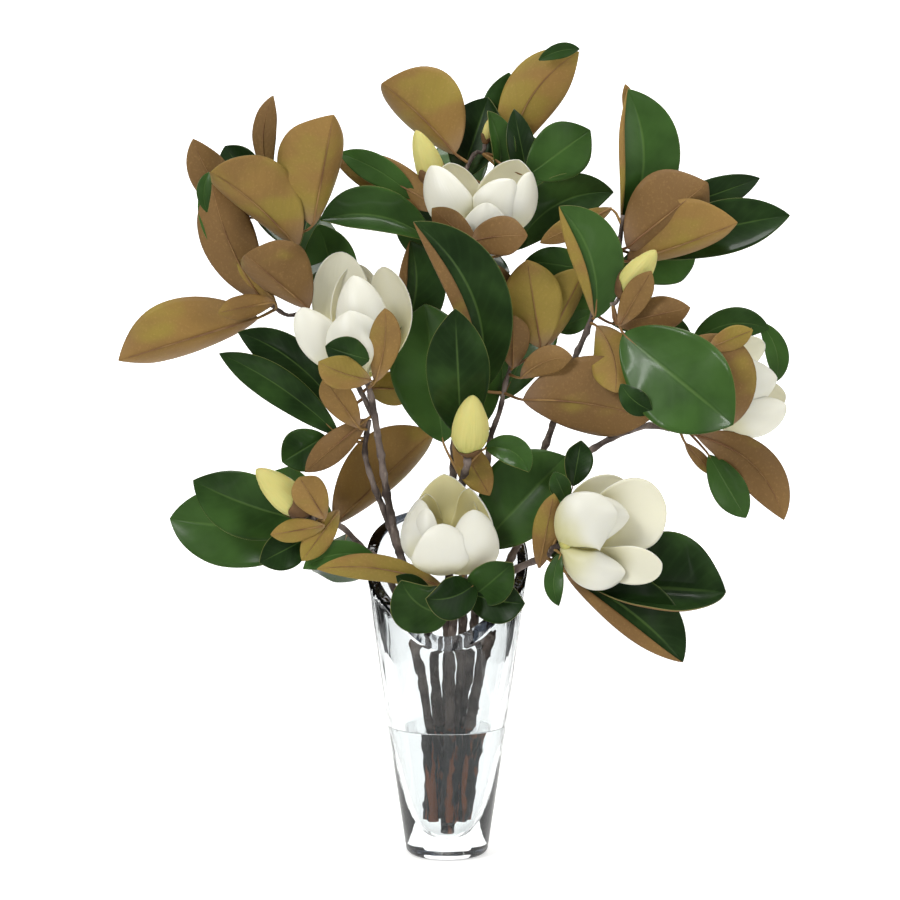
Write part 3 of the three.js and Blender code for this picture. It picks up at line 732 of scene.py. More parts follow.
@dataclass(frozen=True)
class PetalIvory:
    """Waxy ivory petals, creamier toward the root, with faint lengthwise veins."""

    finish: Finish = Finish.PETAL_IVORY
    ivory: str = "#d8d6c6"
    cream: str = "#c9c48e"
    cream_until: float = 0.5
    vein: str = "#d8d5b6"

    def material(self) -> Material:
        """Makes the finish.

        Returns:
            Its material.
        """
        bench = Bench(
            self.finish, Specular_IOR_Level=0.4, Subsurface_Weight=0.25, Subsurface_Scale=0.01,
            Subsurface_Radius=(1.0, 0.9, 0.6), Coat_Roughness=0.35,
        )
        across, along = bench.sheet_place()
        cloud = bench.noise(bench.place(), 30.0)
        veins = bench.vein_noise(across, along, (26.0, 1.4), 1.6)
        height = (along + (cloud - 0.5) * 0.3).ramp(0.02, self.cream_until)
        body = bench.blend(height, tone(self.cream), tone(self.ivory))
        body = bench.blend(veins.ramp(0.5, 0.75) * 0.06, body, tone(self.vein))
        bench.feed(Base_Color=body, Roughness=cloud * 0.12 + 0.42, Coat_Weight=0.12 + cloud * 0.1)
        bench.bump(veins * 0.35 + cloud, 0.0004)
        return bench.material


@dataclass(frozen=True)
class BudSkin:
    """A bud's tight skin: pale yellow-green, fresher green toward its base."""

    pale: str = "#c2ba70"
    green: str = "#8b8f44"

    def material(self) -> Material:
        """Makes the finish.

        Returns:
            Its material.
        """
        bench = Bench(
            Finish.BUD_SKIN, Specular_IOR_Level=0.3, Subsurface_Weight=0.15, Subsurface_Scale=0.008
        )
        across, along = bench.sheet_place()
        cloud = bench.noise(bench.place(), 60.0)
        veins = bench.vein_noise(across, along, (30.0, 2.0), 1.5)
        height = (along + (veins - 0.5) * 0.5).ramp(0.0, 0.6)
        body = bench.blend(height, tone(self.green), tone(self.pale))
        bench.feed(Base_Color=body, Roughness=cloud * 0.15 + 0.4)
        bench.bump(veins + cloud * 0.5, 0.0007)
        return bench.material


@dataclass(frozen=True)
class BudScale:
    """The dry scale round a bud's base: fuzzy brown."""

    brown: str = "#7a5a35"
    dark: str = "#4b3524"

    def material(self) -> Material:
        """Makes the finish.

        Returns:
            Its material.
        """
        bench = Bench(Finish.BUD_SCALE, Specular_IOR_Level=0.3)
        place = bench.place()
        cloud, fuzz = bench.noise(place, 80.0), bench.noise(place, 500.0)
        colour = bench.blend(cloud, tone(self.dark), tone(self.brown))
        bench.feed(Base_Color=colour, Roughness=fuzz * 0.2 + 0.6)
        bench.bump(fuzz, 0.0005)
        return bench.material


@dataclass(frozen=True)
class Clear:
    """A clear solid or liquid, very slightly uneven in upright streaks."""

    finish: Finish
    ior: float
    tint: str
    waviness: float

    def material(self) -> Material:
        """Makes the finish.

        Returns:
            Its material.
        """
        bench = Bench(
            self.finish, Base_Color=tone(self.tint), IOR=self.ior, Transmission_Weight=1.0,
            Roughness=0.0,
        )
        streaks = bench.noise(bench.stretched(bench.place(), (1.0, 1.0, 0.12)), 70.0, 2.0)
        bench.bump(streaks + bench.noise(bench.place(), 14.0, 1.0), self.waviness)
        return bench.material


@dataclass(frozen=True)
class CutGlassPaintedReflections:
    """The vase's cut and polished mouth, with painted dark reflections: dark at the sides, streaked
    and lighter in front.
    """

    light: str = "#c9cdd2"
    dark: str = "#0b0f16"
    ior: float = 1.5
    clear_half: float = 0.016
    painted_dark_half: float = 0.04

    def material(self) -> Material:
        """Makes the finish.

        Returns:
            Its material.
        """
        bench = Bench(Finish.CUT_GLASS, IOR=self.ior, Transmission_Weight=0.85, Roughness=0.03)
        place = bench.place()
        streaks = bench.noise(bench.stretched(place, (1.0, 1.0, 0.15)), 110.0, 2.0)
        # Painted reflection: the cut face darkens toward the sides and in streaks, for the dark
        # surroundings seen reflected in it.
        side = abs(bench.parts(place)[0]).ramp(self.clear_half, self.painted_dark_half)
        shade = (side + streaks.ramp(0.5, 0.62) * 0.8).ramp(0.0, 1.0)
        bench.feed(Base_Color=bench.blend(shade, tone(self.light), tone(self.dark)))
        bench.bump(streaks, 0.0006)
        return bench.material


@dataclass(frozen=True)
class Paper:
    """The studio's seamless pale paper, or a card."""

    finish: Finish
    colour: str
    glow: float = 0.0

    def material(self) -> Material:
        """Makes the finish.

        Returns:
            Its material.
        """
        bench = Bench(
            self.finish, Specular_IOR_Level=0.1, Emission_Color=WHITE, Emission_Strength=self.glow
        )
        grain = bench.noise(bench.place(), 40.0)
        colour = bench.blend(grain * 0.04, tone(self.colour), MID_GREY)
        bench.feed(Base_Color=colour, Roughness=grain * 0.1 + 0.8)
        return bench.material


# ---- the plants' parts -------------------------------------------------------------------
@dataclass
class Leaf:
    """One leaf: places are seen ones in millimetres, turns are in degrees.

    roll 0 turns the green side to the viewer and 180 the brown one. cups, shares and folds are
    for the left and the right side as seen from base to tip: how far it curls toward the green
    side, its width as a share of the usual one, and the share of it from which it lies folded
    back. sweep bows the midrib to the right, as a share of its length. A leaf without a stalk
    is a curl of the leaf it lies on.
    """

    base: Place
    tip: Place
    width: float
    roll: float
    cups: tuple[float, float]
    sweep: float = 0.0
    shares: tuple[float, float] = (1.0, 1.0)
    folds: tuple[float, float] = (1.0, 1.0)
    stalked: bool = True

    ARCH: ClassVar[float] = 0.04  # how far the blade swells, as a share of its length
    CURL: ClassVar[float] = 24.0  # how far the tip can turn up, in degrees
    RIPPLE: ClassVar[float] = 0.09  # height of the edge's waves, as a share of the half-width
    THICKNESS: ClassVar[float] = 0.55 * MM
    NECK: ClassVar[float] = 1.3 * MM  # least half-width toward the stalk
    POINT: ClassVar[float] = 0.35 * MM  # least half-width toward the tip
    LEAN: ClassVar[float] = 1.16  # power that puts the widest place past the middle
    CURL_FROM: ClassVar[float] = 0.72  # share of the length from which the tip curls
    CURL_DRAW: ClassVar[tuple[float, float]] = (-0.4, 1.0)  # range of each leaf's share of curl
    FACES: ClassVar[tuple[Finish, ...]] = (Finish.LEAF_GREEN, Finish.LEAF_BROWN, Finish.LEAF_RIM)
    RIB_DEPTH: ClassVar[tuple[list, list]] = ([0, 0.3, 0.6, 1], [0.2, 0.9, 0.3, 0.1])
    STALK_RADII: ClassVar[tuple[list, list]] = (
        [0, 0.12, 0.3, 0.6, 1], [1.7 * MM, 1.4 * MM, 1.1 * MM, 0.55 * MM, 0.25 * MM],
    )
    STALK_STEP: ClassVar[float] = 7 * MM
    SHEET: ClassVar[Sheet] = Sheet(14, 28)
    FOLDED_SHEET: ClassVar[Sheet] = Sheet(32, 28)
    STALK_SHEET: ClassVar[Sheet] = Sheet(6, 22)

    def _midrib(self, t: Array, curl: float) -> tuple[Array, Array, Array]:
        """The midrib's places, sideways directions and green-side directions.

        Args:
            t: shares of the leaf's length.
            curl: how far the tip turns up, in degrees.

        Returns:
            Places, rightward directions and upward directions, one a row.
        """
        base, tip = seen(self.base), seen(self.tip)
        length = np.linalg.norm(tip - base)
        chord = unit(tip - base)
        facing = unit(TOWARD_EYE - chord * np.dot(TOWARD_EYE, chord))
        middle = (base + tip) / 2 + np.cross(chord, facing) * 2 * self.sweep * length
        s = t[:, None]
        line = base * (1 - s) ** 2 + middle * 2 * s * (1 - s) + tip * s**2
        tangents = unit((middle - base) * (1 - s) + (tip - middle) * s)
        up = unit(TOWARD_EYE - tangents * np.sum(TOWARD_EYE * tangents, axis=1, keepdims=True))
        up = turned(up, tangents, math.radians(self.roll))
        line = line + up * (4 * s * (1 - s) * self.ARCH * length)
        bend = math.radians(curl) * smooth_share((t - self.CURL_FROM) / 0.28)[:, None]
        steps = np.diff(line, axis=0, prepend=line[:1])
        reach = np.linalg.norm(steps, axis=1, keepdims=True)
        line = line[0] + np.cumsum(steps * np.cos(bend) + up * reach * np.sin(bend), axis=0)
        tangents = unit(np.gradient(line, axis=0))
        up = unit(up - tangents * np.sum(up * tangents, axis=1, keepdims=True))
        return line, np.cross(tangents, up), up

    def _half_width(self, t: Array) -> Array:
        """The blade's usual half-width, drawn in at the stalk and pointed at the tip.

        Args:
            t: shares of the leaf's length.

        Returns:
            Half-widths in metres.
        """
        s = t**self.LEAN
        half = self.width * MM / 2 * (4 * s * (1 - s)).clip(0) ** (0.62 + 0.25 * t)
        return np.maximum(half, np.where(t < 0.5, self.NECK, self.POINT))

    def _ripple(self, t: Array, chance: np.random.Generator) -> Array:
        """Uneven heights that grow toward the blade's edges.

        Args:
            t: shares of the leaf's length.
            chance: chooses the waves' places.

        Returns:
            Heights as shares of the half-width, by row and column.
        """
        across = np.linspace(-1, 1, self.SHEET.across + 1)[None, :]
        phase = chance.uniform(0, TURN, 4)
        s = t[:, None]
        swell = np.where(across < 0, np.sin(9 * s + phase[0]), np.sin(8 * s + phase[1]))
        fine = np.sin(19 * s + np.sign(across) * phase[2] + phase[3])
        return self.RIPPLE * np.abs(across) ** 2 * (swell + 0.35 * fine)

    def _stalk(self, root: Array, rib: Array, finishes: Finishes) -> Object:
        """Bends the stalk and the lower midrib as one thin tube.

        Args:
            root: where the stalk leaves the wood.
            rib: places under the blade's midline.
            finishes: the materials.

        Returns:
            The stalk.
        """
        reach = rib[: len(rib) - 3]
        line = smooth_line([root, rib[0], *reach[3::4], reach[-1]], self.STALK_STEP)
        walked = np.linspace(0, 1, self.STALK_SHEET.along + 1)
        steps = np.linspace(0, 1, len(line))
        line = np.stack([np.interp(walked, steps, column) for column in line.T], axis=1)
        radii = np.interp(walked, *self.STALK_RADII)
        stalk = self.STALK_SHEET.rolled("stalk", tube_places(line, radii, self.STALK_SHEET.across))
        wear(stalk, finishes, Finish.LEAF_STALK)
        return stalk

    def build(self, root: Array, finishes: Finishes, seed: int) -> list[Object]:
        """Bends the blade and its stalk.

        Args:
            root: where the stalk leaves the wood.
            finishes: the materials.
            seed: chooses the edge's unevenness.

        Returns:
            The blade and, unless it has none, the stalk with the lower midrib.
        """
        chance = np.random.default_rng(seed)
        v = np.linspace(0, 1, self.SHEET.along + 1)
        t = 0.55 * v + 0.45 * (0.5 - 0.5 * np.cos(math.pi * v))
        line, sides, up = self._midrib(t, chance.uniform(*self.CURL_DRAW) * self.CURL)
        half = self._half_width(t)
        cups = tuple(math.radians(cup) for cup in self.cups)
        shares, folds = self.shares, self.folds
        if math.cos(math.radians(self.roll)) < 0:
            cups, shares, folds = cups[::-1], shares[::-1], folds[::-1]
        sheet, ripple = self.SHEET, self._ripple(t, chance)
        if min(folds) < 1:
            sheet, ripple = self.FOLDED_SHEET, None
        widths = (half * shares[0], half * shares[1])
        places = blade_places(line, sides, up, widths, cups, sheet.across, ripple, folds=folds)
        blade = sheet.bent("blade", places)
        wear(blade, finishes, *self.FACES)
        tint = blade.data.attributes.new("tint", "FLOAT", "POINT")
        shade = np.full(len(blade.data.vertices), chance.uniform(0, 1), np.float32)
        tint.data.foreach_set("value", shade)
        apply_modifier(
            blade, "SOLIDIFY", thickness=self.THICKNESS, offset=0, material_offset=1,
            material_offset_rim=2,
        )
        if not self.stalked:
            return [blade]
        depth = np.interp(t, *self.RIB_DEPTH)[:, None] * MM + self.THICKNESS / 3
        return [blade, self._stalk(root, line - up * depth, finishes)]


@dataclass
class Twig:
    """One stretch of wood through seen places, from its first to its last radius."""

    path: list[Place]
    start_radius: float
    end_radius: float
    ahead: list[Array] = field(default_factory=list)
    behind: list[Array] = field(default_factory=list)

    SIDES: ClassVar[int] = 14
    STEP: ClassVar[float] = 5 * MM
    FIRST_KNOT: ClassVar[float] = 14 * MM
    KNOT_SPACING: ClassVar[float] = 20 * MM
    KNOT_REACH: ClassVar[float] = 3.2 * MM
    KNOT_HEIGHTS: ClassVar[tuple[float, float]] = (0.15, 0.42)  # as shares of the radius

    def line(self) -> Array:
        """The centre line, with what was put ahead of it and behind it."""
        path = [seen(place) for place in self.path]
        return smooth_line([*self.ahead, *path, *self.behind], self.STEP)

    def build(self, bark: Material, seed: int) -> Object:
        """Bends a sheet round the centre line, with knots and uneven bark.

        Args:
            bark: the wood's material.
            seed: chooses the knots and the unevenness.

        Returns:
            The wood.
        """
        chance = np.random.default_rng(seed)
        line = self.line()
        share = np.linspace(0, 1, len(line))[:, None]
        around = np.linspace(0, TURN, self.SIDES, endpoint=False)[None, :]
        walked = share * (len(line) - 1) * self.STEP
        radius = (self.start_radius + (self.end_radius - self.start_radius) * share) * MM
        starts = np.arange(self.FIRST_KNOT, walked[-1, 0], self.KNOT_SPACING)
        knots = sum(
            chance.uniform(*self.KNOT_HEIGHTS)
            * np.exp(-(((walked - where) / self.KNOT_REACH) ** 2))
            * (0.6 + 0.8 * np.cos(around - chance.uniform(0, 6.28)).clip(0))
            for where in starts + chance.uniform(-5, 5) * MM
        )
        rough = 0.05 * np.sin(around * 3 + walked * 420 + chance.uniform(0, 6)) + 0.05 * np.sin(
            around * 2 - walked * 260 + chance.uniform(0, 6)
        )
        radii = radius * (1 + knots + rough)
        sheet = Sheet(self.SIDES, len(line) - 1)
        wood = sheet.rolled("wood", tube_places(line, radii, self.SIDES))
        wood.data.materials.append(bark)
        return wood


@dataclass
class Petal:
    """One petal from its bloom's base to a seen tip, in mm and degrees.

    roll 0 turns the inner face to the viewer and 180 the outer one. bulge and sweep are how far
    its midline swells outward and rightward, as shares of its length.
    """

    tip: Place
    width: float
    roll: float
    cup: float
    bulge: float
    sweep: float = 0.0
    widest: float = 0.58
    blunt: float = 0.5
    inner: Finish = Finish.PETAL_CREAM

    LIP: ClassVar[float] = 0.1  # how far the tip's edge rolls outward
    THICKNESS: ClassVar[float] = 0.9 * MM
    SHEET: ClassVar[Sheet] = Sheet(20, 28)

    def build(self, base: Array, finishes: Finishes, seed: int) -> Object:
        """Bends the petal up from the bloom's seat.

        Args:
            base: the bloom's base.
            finishes: the materials.
            seed: chooses the edge's unevenness.

        Returns:
            The petal.
        """
        chance = np.random.default_rng(seed)
        tip = seen(self.tip)
        chord = tip - base
        length, along = np.linalg.norm(chord), unit(chord)
        facing = unit(TOWARD_EYE - along * np.dot(TOWARD_EYE, along))
        inner = turned(facing, along, math.radians(self.roll))
        swell = np.cross(along, facing) * self.sweep - inner * self.bulge
        middle = (base + tip) / 2 + length * 2 * swell
        v = np.linspace(0, 1, self.SHEET.along + 1)
        t = 1 - (1 - v) ** 1.6
        s = t[:, None]
        line = base * (1 - s) ** 2 + middle * 2 * s * (1 - s) + tip * s**2
        tangents = unit((middle - base) * (1 - s) + (tip - middle) * s)
        up = unit(inner - tangents * np.sum(inner * tangents, axis=1, keepdims=True))
        w = t ** (math.log(0.5) / math.log(self.widest))
        half = self.width * MM / 2 * (4 * w * (1 - w)).clip(0) ** self.blunt
        half = np.maximum(half, self.width * MM / 2 * (0.12 * (1 - t) + 0.012))
        across = np.linspace(-1, 1, self.SHEET.across + 1)[None, :]
        phase = chance.uniform(0, TURN)
        edge = np.abs(across) ** 3 * smooth_share(t * 1.6 - 0.4)[:, None]
        ripple = 0.035 * edge * np.sin(7 * s + across * 1.5 + phase)
        ripple = ripple - self.LIP * edge * smooth_share((t - 0.5) / 0.5)[:, None]
        cup = math.radians(self.cup)
        sides, columns = np.cross(tangents, up), self.SHEET.across
        places = blade_places(
            line, sides, up, (half, half), (cup, cup), columns, ripple, crease=0.0
        )
        petal = self.SHEET.bent("petal", places)
        wear(petal, finishes, self.inner, Finish.PETAL_IVORY)
        apply_modifier(
            petal, "SOLIDIFY", thickness=self.THICKNESS, offset=0, material_offset=1,
            material_offset_rim=1,
        )
        return petal


def flower_axes(axis: Array) -> tuple[Array, Array, Array]:
    """The directions of a bloom or bud on an axis.

    Args:
        axis: where it points, of any length.

    Returns:
        Its up, front and right directions.
    """
    up = unit(axis)
    front = unit(TOWARD_EYE - up * np.dot(TOWARD_EYE, up))
    return up, front, np.cross(up, front)


def round_angles(columns: int) -> Array:
    """Directions once round, the last one on the first."""
    return np.append(np.linspace(0, TURN, columns + 1)[:-1], 0.0)


def turned_places(
    profile: Array, axes: tuple[Array, Array, Array], base: Array, columns: int
) -> Array:
    """Places of a body turned round an axis.

    Args:
        profile: radius and height in metres, one point a row, or such rows by column.
        axes: the up, front and right directions.
        base: the place of height 0.
        columns: how many faces go round.

    Returns:
        Places by row along, then column round, the last column on the first.
    """
    up, front, right = axes
    angles = round_angles(columns)
    spokes = right[None, :] * np.cos(angles)[:, None] - front[None, :] * np.sin(angles)[:, None]
    table = profile if profile.ndim == 3 else np.repeat(profile[:, None, :], columns + 1, axis=1)
    return base + spokes[None, :, :] * table[:, :, :1] + up * table[:, :, 1:2]


@dataclass
class Bloom:
    """One open flower on its seat: a seen place, an axis, and its petals."""

    name: str
    on: str
    base: Place
    axis: Place
    petals: list[Petal]

    SEAT: ClassVar[list[tuple[float, float]]] = [
        (0.2, 0.1), (2.5, 0.1), (4.2, 0.6), (5.6, 2), (6.5, 4), (6.6, 6.5), (6, 9), (4.6, 11.5),
        (3, 14), (1.2, 15), (0.2, 15.2),
    ]
    SEAT_COLUMNS: ClassVar[int] = 16

    def build(self, finishes: Finishes, seed: int) -> Object:
        """Builds the petals round their seat.

        Args:
            finishes: the materials.
            seed: chooses the petals' unevenness.

        Returns:
            The bloom as one piece.
        """
        base, axes = seen(self.base), flower_axes(np.array(self.axis))
        places = turned_places(np.array(self.SEAT) * MM, axes, base, self.SEAT_COLUMNS)
        seat = Sheet(self.SEAT_COLUMNS, len(self.SEAT) - 1).rolled("seat", places)
        wear(seat, finishes, Finish.BUD_SKIN)
        petals = [petal.build(base, finishes, seed + i) for i, petal in enumerate(self.petals)]
        return joined([*petals, seat], self.name + "_petals")


@dataclass
class Bud:
    """One closed bud between two seen places."""

    name: str
    on: str
    base: Place
    tip: Place
    radius: float
    start: Place | None = None
    twig: int | None = None
    scale_height: float = 0.3

    PROFILE: ClassVar[list[tuple[float, float]]] = [
        (0.22, 0), (0.62, 0.1), (0.95, 0.28), (1, 0.42), (0.86, 0.64), (0.52, 0.86), (0.2, 0.97),
    ]
    COLUMNS: ClassVar[int] = 36
    ROWS: ClassVar[int] = 30
    SCALE_ROWS: ClassVar[int] = 8
    SCALE_THICKNESS: ClassVar[float] = 0.6 * MM
    WRAPS: ClassVar[int] = 3  # petals that are seen wound round the bud
    LAP: ClassVar[float] = 0.07  # step at a wound petal's edge, as a share of the radius

    def _outline(self) -> Array:
        """The smooth outline, a place for each row.

        Returns:
            Radius and height as shares of the bud's own, one point a row.
        """
        ends = np.array([0.0, 0.0]), np.array([0.0, 1.0])
        line = smooth_line([ends[0], *(np.array(p, float) for p in self.PROFILE), ends[1]], 0.02)
        steps, share = np.linspace(0, 1, len(line)), np.linspace(0, 1, self.ROWS + 1)
        return np.stack([np.interp(share, steps, column) for column in line.T], axis=1).clip(0)

    def _turned(self, radii: Array, heights: Array) -> Array:
        """Places of a body round the bud's axis.

        Args:
            radii: its radii in metres, by row and column.
            heights: its heights as shares of the bud's, by row and column.

        Returns:
            Places by row along, then column round.
        """
        base = seen(self.base)
        axis = seen(self.tip) - base
        table = np.stack(np.broadcast_arrays(radii, heights * np.linalg.norm(axis)), axis=2)
        table[:, -1] = table[:, 0]
        return turned_places(table, flower_axes(axis), base, self.COLUMNS)

    def _skin(self, outline: Array, angles: Array, finishes: Finishes, seed: int) -> Object:
        """Turns the tight body, stepped where each wound petal ends.

        Args:
            outline: the smooth outline.
            angles: the columns' directions.
            finishes: the materials.
            seed: turns the wound petals.

        Returns:
            The body.
        """
        radius, height = outline[:, :1], outline[:, 1:2]
        wound = (angles * self.WRAPS / TURN + height * 1.3 + seed * 0.37) % 1.0
        lap = self.LAP * wound * smooth_share(height / 0.3) - 0.03
        places = self._turned(radius * (1 + lap) * self.radius * MM, height)
        skin = Sheet(self.COLUMNS, self.ROWS).rolled("skin", places)
        wear(skin, finishes, Finish.BUD_SKIN)
        return skin

    def _scale(self, outline: Array, angles: Array, finishes: Finishes, seed: int) -> Object:
        """Bends the ragged scale round the base.

        Args:
            outline: the smooth outline.
            angles: the columns' directions.
            finishes: the materials.
            seed: turns the ragged edge.

        Returns:
            The scale, with its thickness.
        """
        share = np.linspace(0, 1, self.SCALE_ROWS + 1)[:, None]
        waves = 1 + 0.35 * np.sin(2 * angles + seed) + 0.12 * np.sin(5 * angles)
        heights = share * (self.scale_height * waves)
        fit = np.interp(heights, outline[:, 1], outline[:, 0])
        places = self._turned(fit * self.radius * MM * 1.04 + 0.5 * MM, heights)
        scale = Sheet(self.COLUMNS, self.SCALE_ROWS).bent("scale", places)
        merge_places()
        bpy.ops.object.mode_set(mode="OBJECT")
        apply_modifier(scale, "SOLIDIFY", thickness=self.SCALE_THICKNESS, offset=0)
        wear(scale, finishes, Finish.BUD_SCALE)
        return scale

    def build(self, finishes: Finishes, seed: int) -> Object:
        """Builds the bud and the scale round its base.

        Args:
            finishes: the materials.
            seed: turns the wound petals and the scale's edge.

        Returns:
            The bud as one piece.
        """
        outline, angles = self._outline(), np.linspace(0, TURN, self.COLUMNS + 1)[None, :]
        skin = self._skin(outline, angles, finishes, seed)
        scale = self._scale(outline, angles, finishes, seed)
        return joined([skin, scale], self.name + "_skin")


@dataclass
class Branch:
    """One cut branch: its foot in the vase in real millimetres, its twigs and its leaves."""

    name: str
    foot: list[Place]
    twigs: list[Twig]
    leaves: list[Leaf]

    END_MARGIN: ClassVar[float] = 11 * MM  # wood at a twig's end that carries no leaf
    SEAT_GAP: ClassVar[float] = 0.3 * MM
    SEAT_RUN: ClassVar[float] = 9 * MM  # straight run of a twig before a bloom or bud
    BUD_TWIG: ClassVar[tuple[float, float]] = (2.4, 2)
    LEAF_SEED: ClassVar[int] = 50

    def seat_twigs(self, blooms: list[Bloom], buds: list[Bud]) -> None:
        """Leads the twigs from the foot and up to the blooms and buds that sit on them.

        Args:
            blooms: all blooms, of this branch and others.
            buds: all buds.
        """
        self.twigs[0].ahead = [np.array(place) * MM for place in self.foot]
        ends = [
            (seen(bloom.base), np.array(bloom.axis), self.twigs[0])
            for bloom in blooms
            if bloom.on == self.name
        ]
        for bud in (bud for bud in buds if bud.on == self.name):
            if bud.start:
                self.twigs.append(Twig([bud.start], *self.BUD_TWIG))
            twig = self.twigs[-1 if bud.start else bud.twig]
            ends.append((seen(bud.base), seen(bud.tip) - seen(bud.base), twig))
        for base, axis, twig in ends:
            up = unit(axis)
            twig.behind = [base - up * self.SEAT_RUN, base - up * self.SEAT_GAP]

    def _root(self, base: Array) -> Array:
        """The place in the wood that is nearest to a leaf's base.

        Args:
            base: the leaf's base.

        Returns:
            The place.
        """
        lines = [twig.line() for twig in self.twigs]
        margin = round(self.END_MARGIN / Twig.STEP)
        inner = np.vstack([line[: len(line) - margin] for line in lines])
        return inner[np.argmin(np.linalg.norm(inner - base, axis=1))]

    def build(self, finishes: Finishes, seed: int) -> Object:
        """Builds the wood and the leaves.

        Args:
            finishes: the materials.
            seed: chooses the unevenness of bark and leaves.

        Returns:
            The branch as one piece.
        """
        bark = finishes[Finish.BARK]
        pieces = [twig.build(bark, seed + i) for i, twig in enumerate(self.twigs)]
        for i, leaf in enumerate(self.leaves):
            root = self._root(seen(leaf.base))
            pieces += leaf.build(root, finishes, seed + self.LEAF_SEED + i)
        return joined(pieces, self.name + "_wood_and_leaves")


